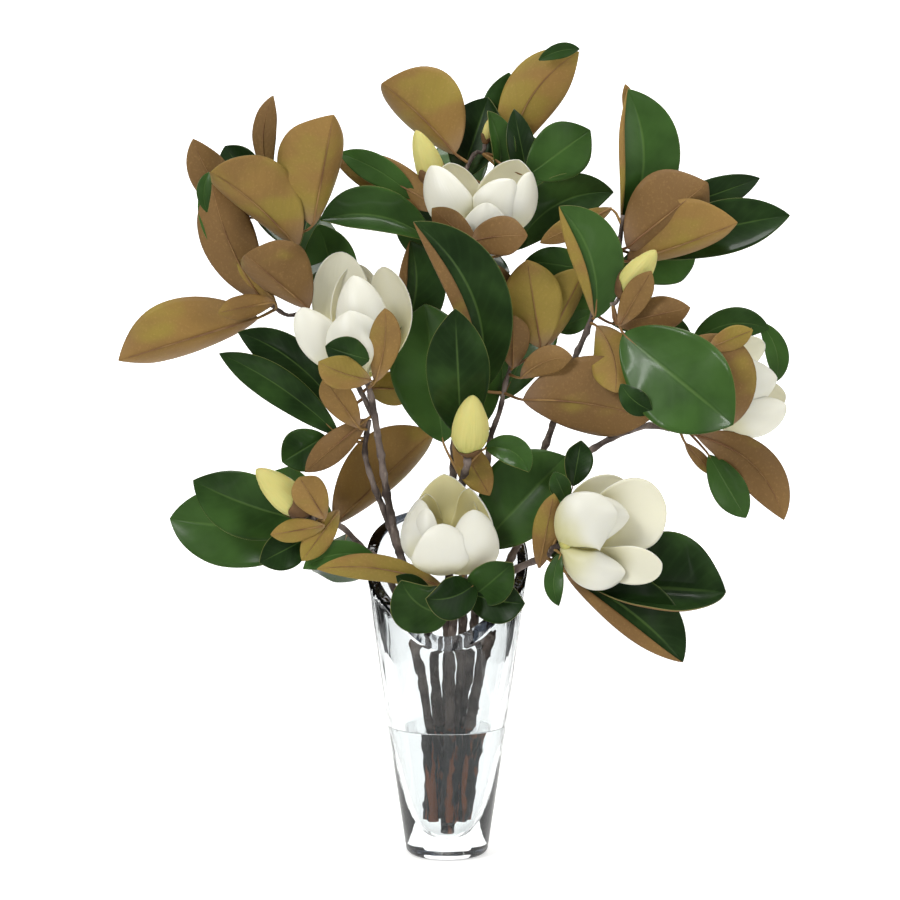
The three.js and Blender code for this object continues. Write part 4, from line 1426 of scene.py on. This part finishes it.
# ---- the arrangement's tables -------------------------------------------------------------
BRANCHES = [
    Branch(
        "left_branch",
        foot=[(-13, 3, 38), (-10, 5, 130), (-17, 8, 215)],
        twigs=[
            Twig([(-45, 300, 2), (-57, 350, -2), (-67, 410, -5), (-75, 460, -8)], 5, 3),
            Twig(
                [(-46, 302, 2), (-55, 328, 6), (-64, 352, 5), (-75, 380, 2), (-82, 408, 0),
                 (-78, 440, -6)],
                3.6, 2.4,
            ),
            Twig(
                [(-72, 440, -6), (-95, 485, 8), (-125, 528, 22), (-142, 552, 26), (-147, 585, 26),
                 (-150, 612, 24)],
                2.8, 2,
            ),
            Twig([(-140, 548, 26), (-160, 545, 24), (-178, 557, 20)], 2.2, 1.7),
            Twig([(-148, 595, 25), (-164, 632, 30), (-176, 656, 40)], 1.9, 1.5),
        ],
        leaves=[
            Leaf((-189, 542, 20), (-329, 499, 0), 88, 180, (100, 20)),
            Leaf((-185, 560, 20), (-235, 676, 4), 58, 180, (25, 25), -0.06),
            Leaf((-204, 590, 32), (-239, 685, 24), 30, 10, (10, 10), -0.1),
            Leaf((-150, 612, 12), (-237, 689, -34), 92, 180, (105, 12), 0.04),
            Leaf((-240, 648, -38), (-238, 688, -36), 15, 0, (20, 20), -0.1, stalked=False),
            Leaf((-134, 634, 12), (-114, 744, -26), 90, 180, (15, 88), 0, shares=(1.08, 0.7)),
            Leaf((-178, 680, 36), (-175, 765, 28), 27, 160, (20, 20), -0.1),
            Leaf((-198, 642, 32), (-254, 721, 20), 42, 180, (20, 20), -0.08),
            Leaf((-186, 662, 48), (-222, 714, 56), 44, 0, (30, 30)),
            Leaf((-138, 551, 2), (-201, 605, -35), 84, 180, (95, 15)),
            Leaf((-172, 558, 12), (-229, 547, -5), 26, 165, (10, 30)),
            Leaf((-172, 560, 16), (-210, 596, 18), 16, 180, (10, 10)),
            Leaf((-118, 537, 54), (-129, 636, 60), 58, 0, (25, 25), 0.08),
            Leaf((-109, 425, 0), (-228, 507, -5), 39, 0, (25, 25), 0.05),
            Leaf((-107, 447, 8), (-210, 529, 2), 46, 0, (25, 25), 0.09),
            Leaf((-88, 432, -18), (-124, 482, -54), 32, 180, (20, 20)),
            Leaf((-76, 480, -58), (-127, 497, -98), 34, 180, (12, 6), -0.04),
            Leaf((-78, 500, -58), (-122, 514, -82), 34, 0, (10, 10), stalked=False),
            Leaf((-72, 478, -46), (-62, 551, -84), 32, 180, (20, 20), 0.05),
            Leaf((-80, 472, 0), (-30, 470, 8), 36, 180, (20, 20)),
            Leaf((-122, 424, 0), (-165, 398, -8), 46, 0, (25, 25)),
            Leaf((-80, 441, -10), (-142, 388, -25), 30, 180, (20, 20)),
            Leaf((-54, 515, 38), (-38, 620, 40), 60, 10, (15, 20), 0.13, folds=(0.62, 1.0)),
            Leaf((-150, 610, 34), (-175, 682, 120), 60, 0, (25, 25)),
            Leaf((-147, 580, 34), (-125, 640, 115), 56, 0, (25, 25)),
        ],
    ),
    Branch(
        "low_left_branch",
        foot=[(-10.5, -8.5, 38), (-17, -12, 130), (-33, -14, 215)],
        twigs=[
            Twig(
                [(-69, 301, -12), (-82, 310, -10), (-92, 320, -8), (-105, 333, -8),
                 (-120, 338, -14)],
                4.6, 2.6,
            ),
        ],
        leaves=[
            Leaf((-135, 325, 20), (-278, 341, 30), 84, 0, (20, 20)),
            Leaf((-130, 338, 6), (-254, 380, 0), 68, 0, (20, 25), -0.04),
            Leaf((-122, 341, -48), (-148, 383, -70), 36, 180, (20, 30)),
            Leaf((-122, 334, -40), (-176, 325, -58), 24, 180, (20, 20)),
            Leaf((-136, 324, -24), (-188, 297, -44), 40, 0, (25, 25)),
            Leaf((-108, 350, -32), (-145, 299, -50), 28, 180, (15, 15)),
            Leaf((-112, 336, 34), (-14, 428, 30), 88, 180, (15, 100)),
            Leaf((-70, 300, -22), (-144, 291, -38), 28, 10, (10, 10), 0.14),
            Leaf((-112, 334, 14), (-180, 380, 110), 62, 0, (25, 25)),
            Leaf((-100, 326, 14), (-112, 282, 98), 56, 0, (25, 25)),
        ],
    ),
    Branch(
        "middle_branch",
        foot=[(0, 0, 24), (8, -2, 130), (15, -4, 215)],
        twigs=[
            Twig([(16, 290, -6), (14, 340, -10), (15, 378, -22)], 5, 3.4),
        ],
        leaves=[
            Leaf((-4, 418, 6), (-22, 556, 18), 90, 0, (25, 25)),
            Leaf((14, 424, -12), (8, 553, -60), 65, 0, (20, 20)),
            Leaf((8, 424, -40), (43, 364, -34), 33, 180, (15, 15)),
            Leaf((38, 412, -44), (82, 388, -60), 32, 0, (20, 50), -0.2),
        ],
    ),
    Branch(
        "front_branch",
        foot=[(0, -13.5, 38), (2, -15, 130), (4, -22, 215)],
        twigs=[
            Twig([(8, 250, -34), (10, 270, -44)], 4.8, 3.6),
        ],
        leaves=[
            Leaf((34, 314, -14), (120, 405, -24), 92, -10, (5, 50)),
            Leaf((20, 268, -62), (79, 257, -90), 46, 0, (20, 20), 0.04),
            Leaf((24, 262, -60), (66, 297, -100), 46, 0, (30, 30)),
            Leaf((28, 276, -72), (-23, 262, -104), 46, 0, (30, 30), -0.1),
            Leaf((2, 246, -62), (-46, 281, -92), 60, 0, (30, 30), -0.14),
            Leaf((-14, 262, -60), (-51, 284, -74), 22, 10, (10, 10)),
            Leaf((-3, 272, -58), (-130, 291, -56), 28, 180, (20, 20), 0.07),
        ],
    ),
    Branch(
        "low_right_branch",
        foot=[(10.6, -8.3, 38), (22, -10, 130), (40, -16, 215)],
        twigs=[
            Twig(
                [(56, 272, -26), (64, 287, -32), (73, 293, -38), (85, 298, -45), (98, 304, -52)],
                4.6, 3,
            ),
        ],
        leaves=[
            Leaf((92, 292, -58), (107, 366, -78), 28, 180, (15, 15)),
            Leaf((114, 306, -72), (112, 254, -88), 20, 0, (20, 20), 0.12),
            Leaf((126, 374, -36), (134, 420, -30), 32, 0, (50, 20)),
            Leaf((120, 358, -60), (107, 388, -64), 22, 0, (20, 20)),
            Leaf((143, 278, -38), (279, 268, -46), 116, 0, (4, 112)),
            Leaf((118, 288, -50), (236, 198, -64), 74, 0, (8, 15), -0.06, folds=(1.0, 0.56)),
            Leaf((100, 306, -42), (165, 345, 45), 60, 0, (25, 25)),
            Leaf((104, 300, -42), (195, 305, 20), 58, 0, (25, 25)),
        ],
    ),
    Branch(
        "right_top_branch",
        foot=[(5.7, 12.2, 38), (16, 16, 130), (26, 18, 215)],
        twigs=[
            Twig(
                [(36, 300, 16), (70, 362, 18), (96, 409, 18), (109, 445, 16), (128, 502, 12),
                 (138, 525, 10), (150, 553, 8), (168, 582, 10), (173, 620, 14), (176, 645, 16)],
                5, 2.2,
            ),
            Twig(
                [(37, 304, 16), (40, 360, 12), (43, 420, 10), (53, 450, 8), (58, 475, 6),
                 (66, 500, 4)],
                3.8, 2,
            ),
        ],
        leaves=[
            Leaf((94, 512, -4), (80, 600, -8), 60, 180, (20, 20)),
            Leaf((98, 512, 2), (139, 593, 8), 60, 180, (20, 100)),
            Leaf((66, 492, -4), (67, 545, -14), 34, 180, (20, 20)),
            Leaf((74, 482, -10), (125, 503, -26), 30, 180, (20, 20), -0.1),
            Leaf((76, 460, -10), (204, 441, -44), 90, 180, (12, 32), -0.04, shares=(1.1, 0.75)),
            Leaf((150, 534, -6), (168, 467, -50), 50, 180, (20, 30), -0.1),
            Leaf((148, 542, 0), (111, 655, -24), 66, 0, (15, 20), 0.12, folds=(0.56, 1.0)),
            Leaf((172, 534, -22), (204, 588, -50), 28, 180, (15, 15)),
            Leaf((168, 536, -14), (243, 552, -38), 36, 180, (15, 15)),
            Leaf((176, 630, 32), (180, 772, 30), 74, 0, (40, 18), 0.13, folds=(0.74, 1.0)),
            Leaf((177, 745, 24), (178, 776, 24), 11, 180, (10, 10), 0.1, stalked=False),
            Leaf((180, 612, 6), (261, 677, -8), 88, 180, (20, 60)),
            Leaf((180, 598, 14), (290, 637, -20), 88, 180, (12, 112), 0.02),
            Leaf((200, 642, 40), (313, 682, 52), 34, 0, (10, 10)),
            Leaf((192, 606, 46), (343, 645, 42), 58, 0, (15, 40), -0.03),
            Leaf((165, 652, 14), (93, 617, 10), 24, 180, (10, 10)),
            Leaf((150, 590, 18), (78, 600, 24), 36, 0, (10, 10)),
            Leaf((148, 548, 26), (108, 530, 32), 24, 0, (10, 10)),
            Leaf((150, 552, 28), (118, 580, 34), 36, 0, (10, 10)),
            Leaf((165, 536, 8), (246, 519, 6), 34, 0, (10, 10), -0.1),
            Leaf((176, 526, -26), (288, 434, -80), 98, 0, (16, 16)),
            Leaf((174, 476, -58), (206, 449, -64), 26, 0, (10, 10), 0.1, stalked=False),
            Leaf((34, 470, 4), (-35, 640, -56), 74, 0, (20, 20), 0.14, folds=(0.58, 1.0)),
            Leaf((64, 536, 12), (33, 596, 4), 32, 180, (15, 15), 0.1),
            Leaf((36, 436, 18), (25, 535, 18), 52, 0, (20, 20)),
            Leaf((168, 590, 24), (250, 610, 110), 56, 0, (25, 25)),
            Leaf((55, 460, 14), (100, 560, 95), 56, 0, (25, 25)),
        ],
    ),
    Branch(
        "right_branch",
        foot=[(13.2, 3, 38), (24, 4, 130), (38, 4, 215)],
        twigs=[
            Twig(
                [(62, 298, 0), (92, 350, -4), (118, 390, -8), (138, 406, -10), (165, 422, -12),
                 (200, 434, -8), (232, 432, -4), (244, 442, 0)],
                4.6, 2.6,
            ),
        ],
        leaves=[
            Leaf((245, 516, 52), (322, 531, 60), 34, 0, (10, 10), -0.16),
            Leaf((312, 538, 60), (329, 478, 60), 24, 0, (10, 10), -0.14),
            Leaf((276, 432, -46), (243, 521, -36), 72, 180, (15, 15), 0.17),
            Leaf((262, 512, -40), (306, 530, -34), 24, 180, (10, 10)),
            Leaf((238, 417, -8), (268, 384, 0), 14, 180, (10, 10)),
            Leaf((250, 424, -14), (337, 340, -28), 46, 180, (20, 20), -0.15),
            Leaf((262, 405, -6), (299, 342, -12), 36, 0, (20, 20)),
            Leaf((246, 426, 12), (235, 480, 110), 60, 0, (25, 25)),
        ],
    ),
    Branch(
        "back_branch",
        foot=[(-5.9, 12.1, 38), (-2, 20, 130), (0, 28, 215)],
        twigs=[
            Twig([(4, 330, 42), (10, 450, 46), (22, 540, 42), (32, 590, 36)], 5, 3),
            Twig([(24, 552, 42), (20, 640, 58), (16, 680, 62), (30, 708, 62)], 2.8, 2),
            Twig([(20, 620, 56), (4, 650, 50)], 2.2, 2),
        ],
        leaves=[
            Leaf((-5, 648, 26), (-113, 699, 46), 42, 180, (30, 15), 0.05),
            Leaf((-30, 660, 38), (-108, 707, 48), 30, 0, (10, 10), 0.06),
            Leaf((-17, 620, 36), (-127, 640, 38), 60, 0, (90, 15), 0.13),
            Leaf((8, 706, 58), (-65, 777, 50), 100, 180, (105, 10), 0.03),
            Leaf((14, 682, 80), (41, 763, 80), 60, 0, (20, 40)),
            Leaf((46, 700, 86), (62, 788, 84), 44, 0, (20, 20)),
            Leaf((63, 703, 70), (132, 808, 56), 60, 180, (15, 30), -0.12),
            Leaf((92, 800, 54), (133, 811, 50), 16, 0, (10, 10), -0.08, stalked=False),
            Leaf((50, 674, 66), (40, 750, 60), 34, 0, (90, 20), 0.1),
            Leaf((84, 664, 60), (67, 751, 60), 30, 0, (20, 20)),
            Leaf((80, 684, 40), (143, 730, 54), 58, 0, (10, 10)),
            Leaf((68, 610, 58), (167, 668, 50), 56, 0, (20, 20), -0.16),
            Leaf((30, 612, -26), (-15, 652, -50), 28, 180, (10, 10)),
            Leaf((22, 618, -28), (80, 624, -50), 40, 180, (10, 10), -0.04),
            Leaf((20, 660, 64), (10, 720, 145), 62, 0, (25, 25)),
            Leaf((40, 672, 74), (104, 706, 140), 62, 0, (25, 25)),
            Leaf((20, 620, 62), (-50, 640, 135), 60, 0, (25, 25)),
            Leaf((22, 560, 48), (40, 610, 130), 60, 0, (25, 25)),
            Leaf((12, 470, 52), (-10, 530, 125), 56, 0, (25, 25)),
        ],
    ),
]
BLOOMS = [
    Bloom(
        "front_bloom", "front_branch", (2, 287, -52), (0, -0.3, 0.95),
        petals=[
            Petal((-4, 336, -88), 72, 180, 46, 0.4, -0.04, 0.5, blunt=0.42),
            Petal((26, 350, -68), 64, 200, 50, 0.4, 0.1, 0.52, blunt=0.44),
            Petal((-28, 361, -38), 76, 125, 60, 0.3, -0.1, 0.56),
            # These three inner faces round the cavity carry painted yellow-green bounce light.
            Petal((-3, 386, -34), 76, 0, 55, 0.3, 0.0, 0.58, inner=Finish.PETAL_HEART),
            Petal((22, 372, -40), 72, 312, 55, 0.32, 0.04, 0.55, inner=Finish.PETAL_HEART),
            Petal((-20, 366, -30), 70, 52, 55, 0.32, -0.04, 0.55, inner=Finish.PETAL_HEART),
            Petal((-21, 352, -62), 34, 150, 50, 0.25, -0.05, 0.6),
        ],
    ),
    Bloom(
        "low_right_bloom", "low_right_branch", (114, 315, -66), (0.8, -0.46, 0.38),
        petals=[
            Petal((170, 347, -88), 74, 180, 56, 0.32, -0.12, 0.56, blunt=0.42),
            Petal((182, 343, -72), 58, 160, 60, 0.3, -0.12, 0.6),
            Petal((181, 374, -44), 54, 10, 46, 0.12, -0.1, 0.62),
            Petal((219, 354, -58), 78, 0, 38, 0.08, -0.04, 0.72),
            Petal((215, 296, -88), 42, 10, 35, 0.12, 0.1, 0.72),
            Petal((178, 288, -76), 48, 190, 60, 0.22, 0.14, 0.6),
        ],
    ),
    Bloom(
        "left_bloom", "left_branch", (-80, 482, -14), (-0.16, -0.14, 0.96),
        petals=[
            Petal((-94, 584, -24), 70, 180, 75, 0.22, 0.03, 0.6),
            Petal((-105, 608, 24), 66, 0, 42, 0.12, -0.08, 0.62),
            Petal((-65, 593, 10), 66, 320, 50, 0.16, 0.1, 0.6),
            Petal((-98, 549, -52), 72, 180, 66, 0.36, -0.02, 0.76),
            Petal((-146, 552, -34), 52, 200, 62, 0.2, -0.1, 0.66),
            Petal((-90, 596, 30), 66, 20, 50, 0.2, 0.0, 0.6),
        ],
    ),
    Bloom(
        "top_bloom", "back_branch", (38, 622, 20), (-0.02, -0.26, 0.95),
        petals=[
            Petal((-16, 694, 6), 64, 150, 62, 0.26, -0.04, 0.58),
            Petal((2, 697, 34), 68, 28, 50, 0.24, -0.06, 0.6),
            Petal((72, 700, 38), 72, 340, 50, 0.24, 0.02, 0.6),
            Petal((66, 680, -6), 66, 196, 62, 0.3, -0.06, 0.6),
            Petal((84, 688, 10), 58, 236, 60, 0.26, 0.06, 0.58),
            Petal((40, 657, -24), 64, 180, 70, 0.42, 0.0, 0.58),
        ],
    ),
    Bloom(
        "right_bloom", "right_branch", (256, 454, 10), (0.95, -0.1, 0.28),
        petals=[
            Petal((330, 482, -4), 74, 180, 70, 0.26, -0.06, 0.58),
            Petal((318, 516, 30), 44, 10, 45, 0.16, -0.12, 0.6),
            Petal((339, 464, 26), 52, 0, 50, 0.16, 0.0, 0.6),
            Petal((339, 455, -10), 52, 185, 60, 0.24, 0.12, 0.6),
            Petal((322, 480, 40), 60, 0, 50, 0.2, 0.0, 0.6),
        ],
    ),
]
BUDS = [
    Bud("top_bud", "back_branch", (-8, 668, 44), (-31, 730, 36), 14, twig=2),
    Bud("small_top_bud", "back_branch", (38, 716, 62), (43, 742, 62), 5, twig=1),
    Bud(
        "right_top_bud", "right_top_branch", (172, 562, -14), (209, 610, -30), 14,
        start=(160, 566, 8),
    ),
    Bud(
        "middle_bud", "middle_branch", (21, 404, -50), (26, 465, -64), 18.5,
        twig=0, scale_height=0.12,
    ),
    Bud("low_left_bud", "low_left_branch", (-138, 345, -30), (-191, 391, -44), 16.5, twig=0),
]


# ---- the vase ----------------------------------------------------------------------------
UPRIGHT = (np.array([0.0, 0.0, 1.0]), np.array([0.0, -1.0, 0.0]), np.array([1.0, 0.0, 0.0]))


@dataclass
class Vase:
    """The thick vase with its curved cut mouth, in millimetres."""

    foot_radius: float = 34.0
    foot_round: float = 8.0
    body_radius: float = 40.6
    taper: float = 0.1535
    easing: float = 0.00005
    floor: float = 20.0
    hollow: tuple[tuple[float, float], ...] = (
        (11, 23), (18.5, 32), (24.5, 47), (30, 69), (35.5, 95), (44.5, 130), (59, 205), (68, 270),
        (76.5, 350),
    )
    mouth: tuple[tuple[float, float], ...] = (
        (-110, 150), (-71.5, 216), (-56, 246), (-40, 265), (0, 294), (40, 322), (90, 343),
        (120, 348),
    )
    lip_round: float = 1.3
    # Over the rim's face, from outside in: share of the wall, and drop as a share of lip_round.
    rim_steps: tuple[tuple[float, float], ...] = (
        (0.04, 0.45), (0.12, 0.06), (0.3, 0.0), (0.5, 0.0), (0.7, 0.0), (0.88, 0.06), (0.96, 0.45),
    )
    columns: int = 160
    wall_rows: int = 30
    hollow_rows: int = 56
    cut_above: float = 0.2  # metres above which an upward face is the rim's
    cut_tilt: float = 0.4  # least upward share of such a face's direction

    CURVE_STEP: ClassVar[float] = 2.0
    MOUTH_GUESS: ClassVar[float] = 290.0  # height from which the wall's meeting is found
    MOUTH_ROUNDS: ClassVar[int] = 40
    SHARP: ClassVar[float] = math.radians(35)  # turn from which an edge looks sharp

    def hollow_line(self) -> Array:
        """The hollow's outline.

        Returns:
            Radius and height from its lowest point up, in millimetres, one point a row.
        """
        points = [np.array(p, float) for p in ((0.0, self.floor), *self.hollow)]
        line = smooth_line(points, self.CURVE_STEP)
        line[0] = (0.0, self.floor)
        return line

    def _outer(self, z: Array) -> Array:
        """The wall's outer radius at a height."""
        return self.body_radius + self.taper * z - self.easing * z * z

    def _inner(self, z: Array) -> Array:
        """The hollow's radius at a height."""
        line = self.hollow_line()
        return np.interp(z, line[:, 1], line[:, 0])

    def _rim(self, radius_at: Callable[[Array], Array], angles: Array) -> Array:
        """The height at which a wall meets the mouth, for each direction round the axis.

        Args:
            radius_at: gives the wall's radius at heights.
            angles: directions, 0 at the right and a quarter turn behind the axis.

        Returns:
            The heights in millimetres.
        """
        curve = smooth_line([np.array(p, float) for p in self.mouth], self.CURVE_STEP)
        height = np.full(len(angles), self.MOUTH_GUESS)
        for _ in range(self.MOUTH_ROUNDS):
            height = np.interp(radius_at(height) * np.sin(angles), curve[:, 0], curve[:, 1])
        return height

    def _foot_rows(self) -> list[tuple[float, float]]:
        """The outline under the flat foot and round its edge.

        Returns:
            Radius and height in millimetres, one point a row.
        """
        flat = [(share * self.foot_radius, 0.0) for share in (0.4, 0.8, 0.95)]
        reach, edge = self._outer(np.array(self.foot_round)) - self.foot_round, self.foot_round
        turns = np.linspace(0, math.pi / 2, 9)
        return flat + [(reach + edge * math.sin(t), edge * (1 - math.cos(t))) for t in turns]

    def _rows(self, angles: Array) -> list[Array]:
        """Radius and height for each direction, from under the foot over the rim to the floor.

        Args:
            angles: the directions.

        Returns:
            The rows.
        """
        high, low = self._rim(self._outer, angles), self._rim(self._inner, angles)
        rows = [np.zeros((len(angles), 2))]
        rows += [np.tile(point, (len(angles), 1)) for point in self._foot_rows()]
        for share in np.linspace(0, 1, self.wall_rows + 1)[1:]:
            z = self.foot_round + share * (high - self.lip_round - self.foot_round)
            rows.append(np.stack([self._outer(z), z], axis=1))
        for share, drop in self.rim_steps:
            radius = self._outer(high) * (1 - share) + self._inner(low) * share
            height = high * (1 - share) + low * share - self.lip_round * drop
            rows.append(np.stack([radius, height], axis=1))
        line = self.hollow_line()
        places = np.arange(len(line))
        top = np.interp(low - self.lip_round, line[:, 1], places)
        for share in np.linspace(1, 0, self.hollow_rows):
            rows.append(np.stack([np.interp(share * top, places, part) for part in line.T], axis=1))
        return rows

    def build(self, finishes: Finishes) -> Object:
        """Turns the wall with its cut mouth and its hollow, as one closed body.

        Args:
            finishes: the materials.

        Returns:
            The vase.
        """
        rows = self._rows(round_angles(self.columns))
        places = turned_places(np.array(rows) * MM, UPRIGHT, np.zeros(3), self.columns)
        wall = Sheet(self.columns, len(rows) - 1).rolled("vase_glass", places)
        bpy.ops.object.shade_smooth_by_angle(angle=self.SHARP)
        wear(wall, finishes, Finish.CLEAR_GLASS, Finish.CUT_GLASS)
        # The rim's cut faces take the glass with painted dark reflections.
        for face in wall.data.polygons:
            cut = face.center.z > self.cut_above and face.normal.z > self.cut_tilt
            face.material_index = int(cut)
        return wall


@dataclass
class Water:
    """The water in the vase, drawn up a little at the glass, in millimetres."""

    level: float = 130.0
    into_glass: float = 0.15
    climb: float = 1.6
    fading: float = 1.3  # distance from the glass over which the climb fades
    insets: tuple[float, ...] = (0.5, 1.0, 1.6, 2.4, 3.6, 5.5, 9.0, 16.0, 26.0)
    columns: int = 128

    SHARP: ClassVar[float] = math.radians(60)  # turn from which an edge looks sharp

    def build(self, vase: Vase, finishes: Finishes) -> Object:
        """Fills the hollow up to the level.

        Args:
            vase: the vase that holds it.
            finishes: the materials.

        Returns:
            The water.
        """
        line = vase.hollow_line()
        side = line[line[:, 1] < self.level]
        edge = np.interp(self.level + self.climb, line[:, 1], line[:, 0]) + self.into_glass
        rows = [(0.0, vase.floor - self.into_glass)]
        rows += [(radius + self.into_glass, z - self.into_glass) for radius, z in side[1:]]
        rows += [(edge, self.level + self.climb)]
        for inset in self.insets:
            rows.append((edge - inset, self.level + self.climb * math.exp(-inset / self.fading)))
        rows.append((0.0, self.level))
        places = turned_places(np.array(rows) * MM, UPRIGHT, np.zeros(3), self.columns)
        body = Sheet(self.columns, len(rows) - 1).rolled("vase_water", places)
        bpy.ops.object.shade_smooth_by_angle(angle=self.SHARP)
        wear(body, finishes, Finish.CLEAR_WATER)
        return body


# ---- the studio --------------------------------------------------------------------------
@dataclass(frozen=True)
class Card:
    """A dark card that only reflections, or also views through clear things, meet.

    size is in metres, turn is round x, y and z in degrees, and place is its middle in metres.
    """

    name: str
    size: tuple[float, float]
    turn: Place
    place: Place
    seen_through_glass: bool

    def build(self, finishes: Finishes) -> None:
        """Stands the card in the studio.

        Args:
            finishes: the materials.
        """
        bpy.ops.object.select_all(action="DESELECT")
        bpy.ops.mesh.primitive_plane_add(size=1)
        card = bpy.context.object
        card.name = self.name
        card.scale = (*self.size, 1)
        card.rotation_euler = tuple(math.radians(angle) for angle in self.turn)
        card.location = self.place
        bpy.ops.object.transform_apply(location=True, rotation=True, scale=True)
        wear(card, finishes, Finish.CARD)
        card.visible_camera = card.visible_diffuse = card.visible_shadow = False
        card.visible_transmission = self.seen_through_glass


@dataclass(frozen=True)
class Lamp:
    """A soft square light in metres and watts, which looks at the arrangement."""

    name: str
    place: Place
    size: float
    power: float

    TARGET: ClassVar[Place] = (0, 0, 0.4)

    def build(self) -> None:
        """Hangs the light."""
        bpy.ops.object.select_all(action="DESELECT")
        bpy.ops.object.light_add(type="AREA", location=self.place)
        light = bpy.context.object
        light.name = self.name
        light.data.size = self.size
        light.data.energy = self.power
        sight = Vector(self.TARGET) - Vector(self.place)
        light.rotation_euler = sight.to_track_quat("-Z", "Y").to_euler()


# The cards are painted dark reflections, met only in reflections and, for the side ones, through
# the glass: the side cards draw the glass's edges, and the other two deepen the leaves' colours.
CARDS = [
    Card("studio_card_left", (2.0, 1.5), (90, 0, 90), (-0.46, 0.05, 0.76), True),
    Card("studio_card_right", (2.0, 1.5), (90, 0, 90), (0.46, 0.05, 0.76), True),
    Card("studio_card_front", (3.0, 1.2), (90, 0, 0), (0.0, -1.3, 0.61), False),
    Card("studio_card_low", (0.9, 1.16), (0, 0, 0), (0.0, -0.64, 0.004), False),
]
LAMPS = [
    Lamp("key_light", (-1.9, -2.2, 2.4), 1.2, 72.0),
    Lamp("fill_light", (2.4, -1.8, 1.4), 1.2, 30.0),
    Lamp("top_light", (0.2, 0.1, 2.9), 1.6, 52.0),
]


@dataclass
class Studio:
    """A pale seamless floor, soft lights and the camera, in metres."""

    frame_width: float = 0.9
    sensor: float = 36.0
    side: float = 8.0
    front: float = -9.0
    near_end: float = 2.0
    bend_start: float = 6.0
    bend: float = 1.5
    wall_height: float = 6.0
    air_strength: float = 0.15

    NEAR_ROWS: ClassVar[int] = 5
    BEND_ROWS: ClassVar[int] = 12
    COLUMNS: ClassVar[int] = 8

    def floor(self, finishes: Finishes) -> None:
        """Sweeps the paper up, far enough behind the vase to walk round it, brighter there.

        Args:
            finishes: the materials.
        """
        around = np.linspace(0, math.pi / 2, self.BEND_ROWS + 1)[1:]
        near = np.linspace(self.front, self.near_end, self.NEAR_ROWS + 1)
        flat = [*near, (self.near_end + self.bend_start) / 2, self.bend_start]
        wall = self.bend_start + self.bend
        depth = np.concatenate([flat, self.bend_start + self.bend * np.sin(around), [wall]])
        rise = self.bend * (1 - np.cos(around))
        height = np.concatenate([np.zeros(len(flat)), rise, [self.wall_height]])
        x = np.linspace(-self.side, self.side, self.COLUMNS + 1)
        places = np.stack(np.broadcast_arrays(x, depth[:, None], height[:, None]), axis=2)
        sweep = Sheet(self.COLUMNS, len(depth) - 1).bent("studio_floor", places)
        wear(sweep, finishes, Finish.NEAR_PAPER, Finish.FAR_PAPER)
        for face in sweep.data.polygons:
            face.material_index = int(face.center.y > self.near_end)

    def air(self) -> None:
        """Fills the studio with a little even light."""
        world = bpy.data.worlds.new("studio_air")
        bpy.context.scene.world = world
        world.use_nodes = True
        background = world.node_tree.nodes["Background"]
        background.inputs["Color"].default_value = WHITE
        background.inputs["Strength"].default_value = self.air_strength
        bpy.context.scene.view_settings.view_transform = "Standard"

    def camera(self) -> None:
        """Sets the camera square to the sheet of places."""
        bpy.ops.object.camera_add(location=EYE)
        camera = bpy.context.object
        camera.name = "studio_camera"
        sight = Vector(SHEET_CENTRE - EYE)
        camera.rotation_euler = sight.to_track_quat("-Z", "Y").to_euler()
        camera.data.sensor_width = self.sensor
        camera.data.lens = self.sensor * sight.length / self.frame_width
        bpy.context.scene.camera = camera

    def build(self, finishes: Finishes) -> None:
        """Sets up the floor, the cards, the lights and the camera.

        Args:
            finishes: the materials.
        """
        self.floor(finishes)
        for card in CARDS:
            card.build(finishes)
        for lamp in LAMPS:
            lamp.build()
        self.air()
        self.camera()
        LOG.info("studio: %d cards, %d lights", len(CARDS), len(LAMPS))


def make_finishes() -> Finishes:
    """Makes each finish's material once.

    Returns:
        The materials.
    """
    finishes = [
        LeafGreen(), LeafBrown(), LeafRim(), LeafStalk(), Bark(), PetalIvory(),
        PetalIvory(Finish.PETAL_CREAM, "#dedac0", "#b5a94e", 0.6),
        # The heart finish paints the yellow-green light thrown about inside a bloom's cavity.
        PetalIvory(Finish.PETAL_HEART, "#ece3ac", "#c6ba64", 0.7), BudSkin(), BudScale(),
        Clear(Finish.CLEAR_GLASS, 1.5, "#eff2f3", 0.0005), CutGlassPaintedReflections(),
        Clear(Finish.CLEAR_WATER, 1.33, "#fdfefe", 0.00005),
        Paper(Finish.NEAR_PAPER, "#f4f4f2", 0.5), Paper(Finish.FAR_PAPER, "#f4f4f2", 1.0),
        Paper(Finish.CARD, "#050506"),
    ]
    return {Finish(made.name): made for made in (finish.material() for finish in finishes)}


BRANCH_SEEDS = 100  # numbers kept for the unevenness of each branch
FIRST_BLOOM_SEED, BLOOM_SEEDS = 1000, 10


def main() -> None:
    """Builds, dresses and reports every piece, and sets up the studio."""
    finishes = make_finishes()
    vase = Vase()
    stand_for(vase.build(finishes), "vase")
    stand_for(Water().build(vase, finishes), "water")
    for order, branch in enumerate(BRANCHES):
        branch.seat_twigs(BLOOMS, BUDS)
        piece = branch.build(finishes, BRANCH_SEEDS * order)
        stand_for(piece, branch.name)
    for order, bloom in enumerate(BLOOMS):
        piece = bloom.build(finishes, FIRST_BLOOM_SEED + BLOOM_SEEDS * order)
        stand_for(piece, bloom.name)
    for order, bud in enumerate(BUDS):
        stand_for(bud.build(finishes, order), bud.name)
    Studio().build(finishes)
    Sheet.put_away()


if __name__ == "__main__":
    main()
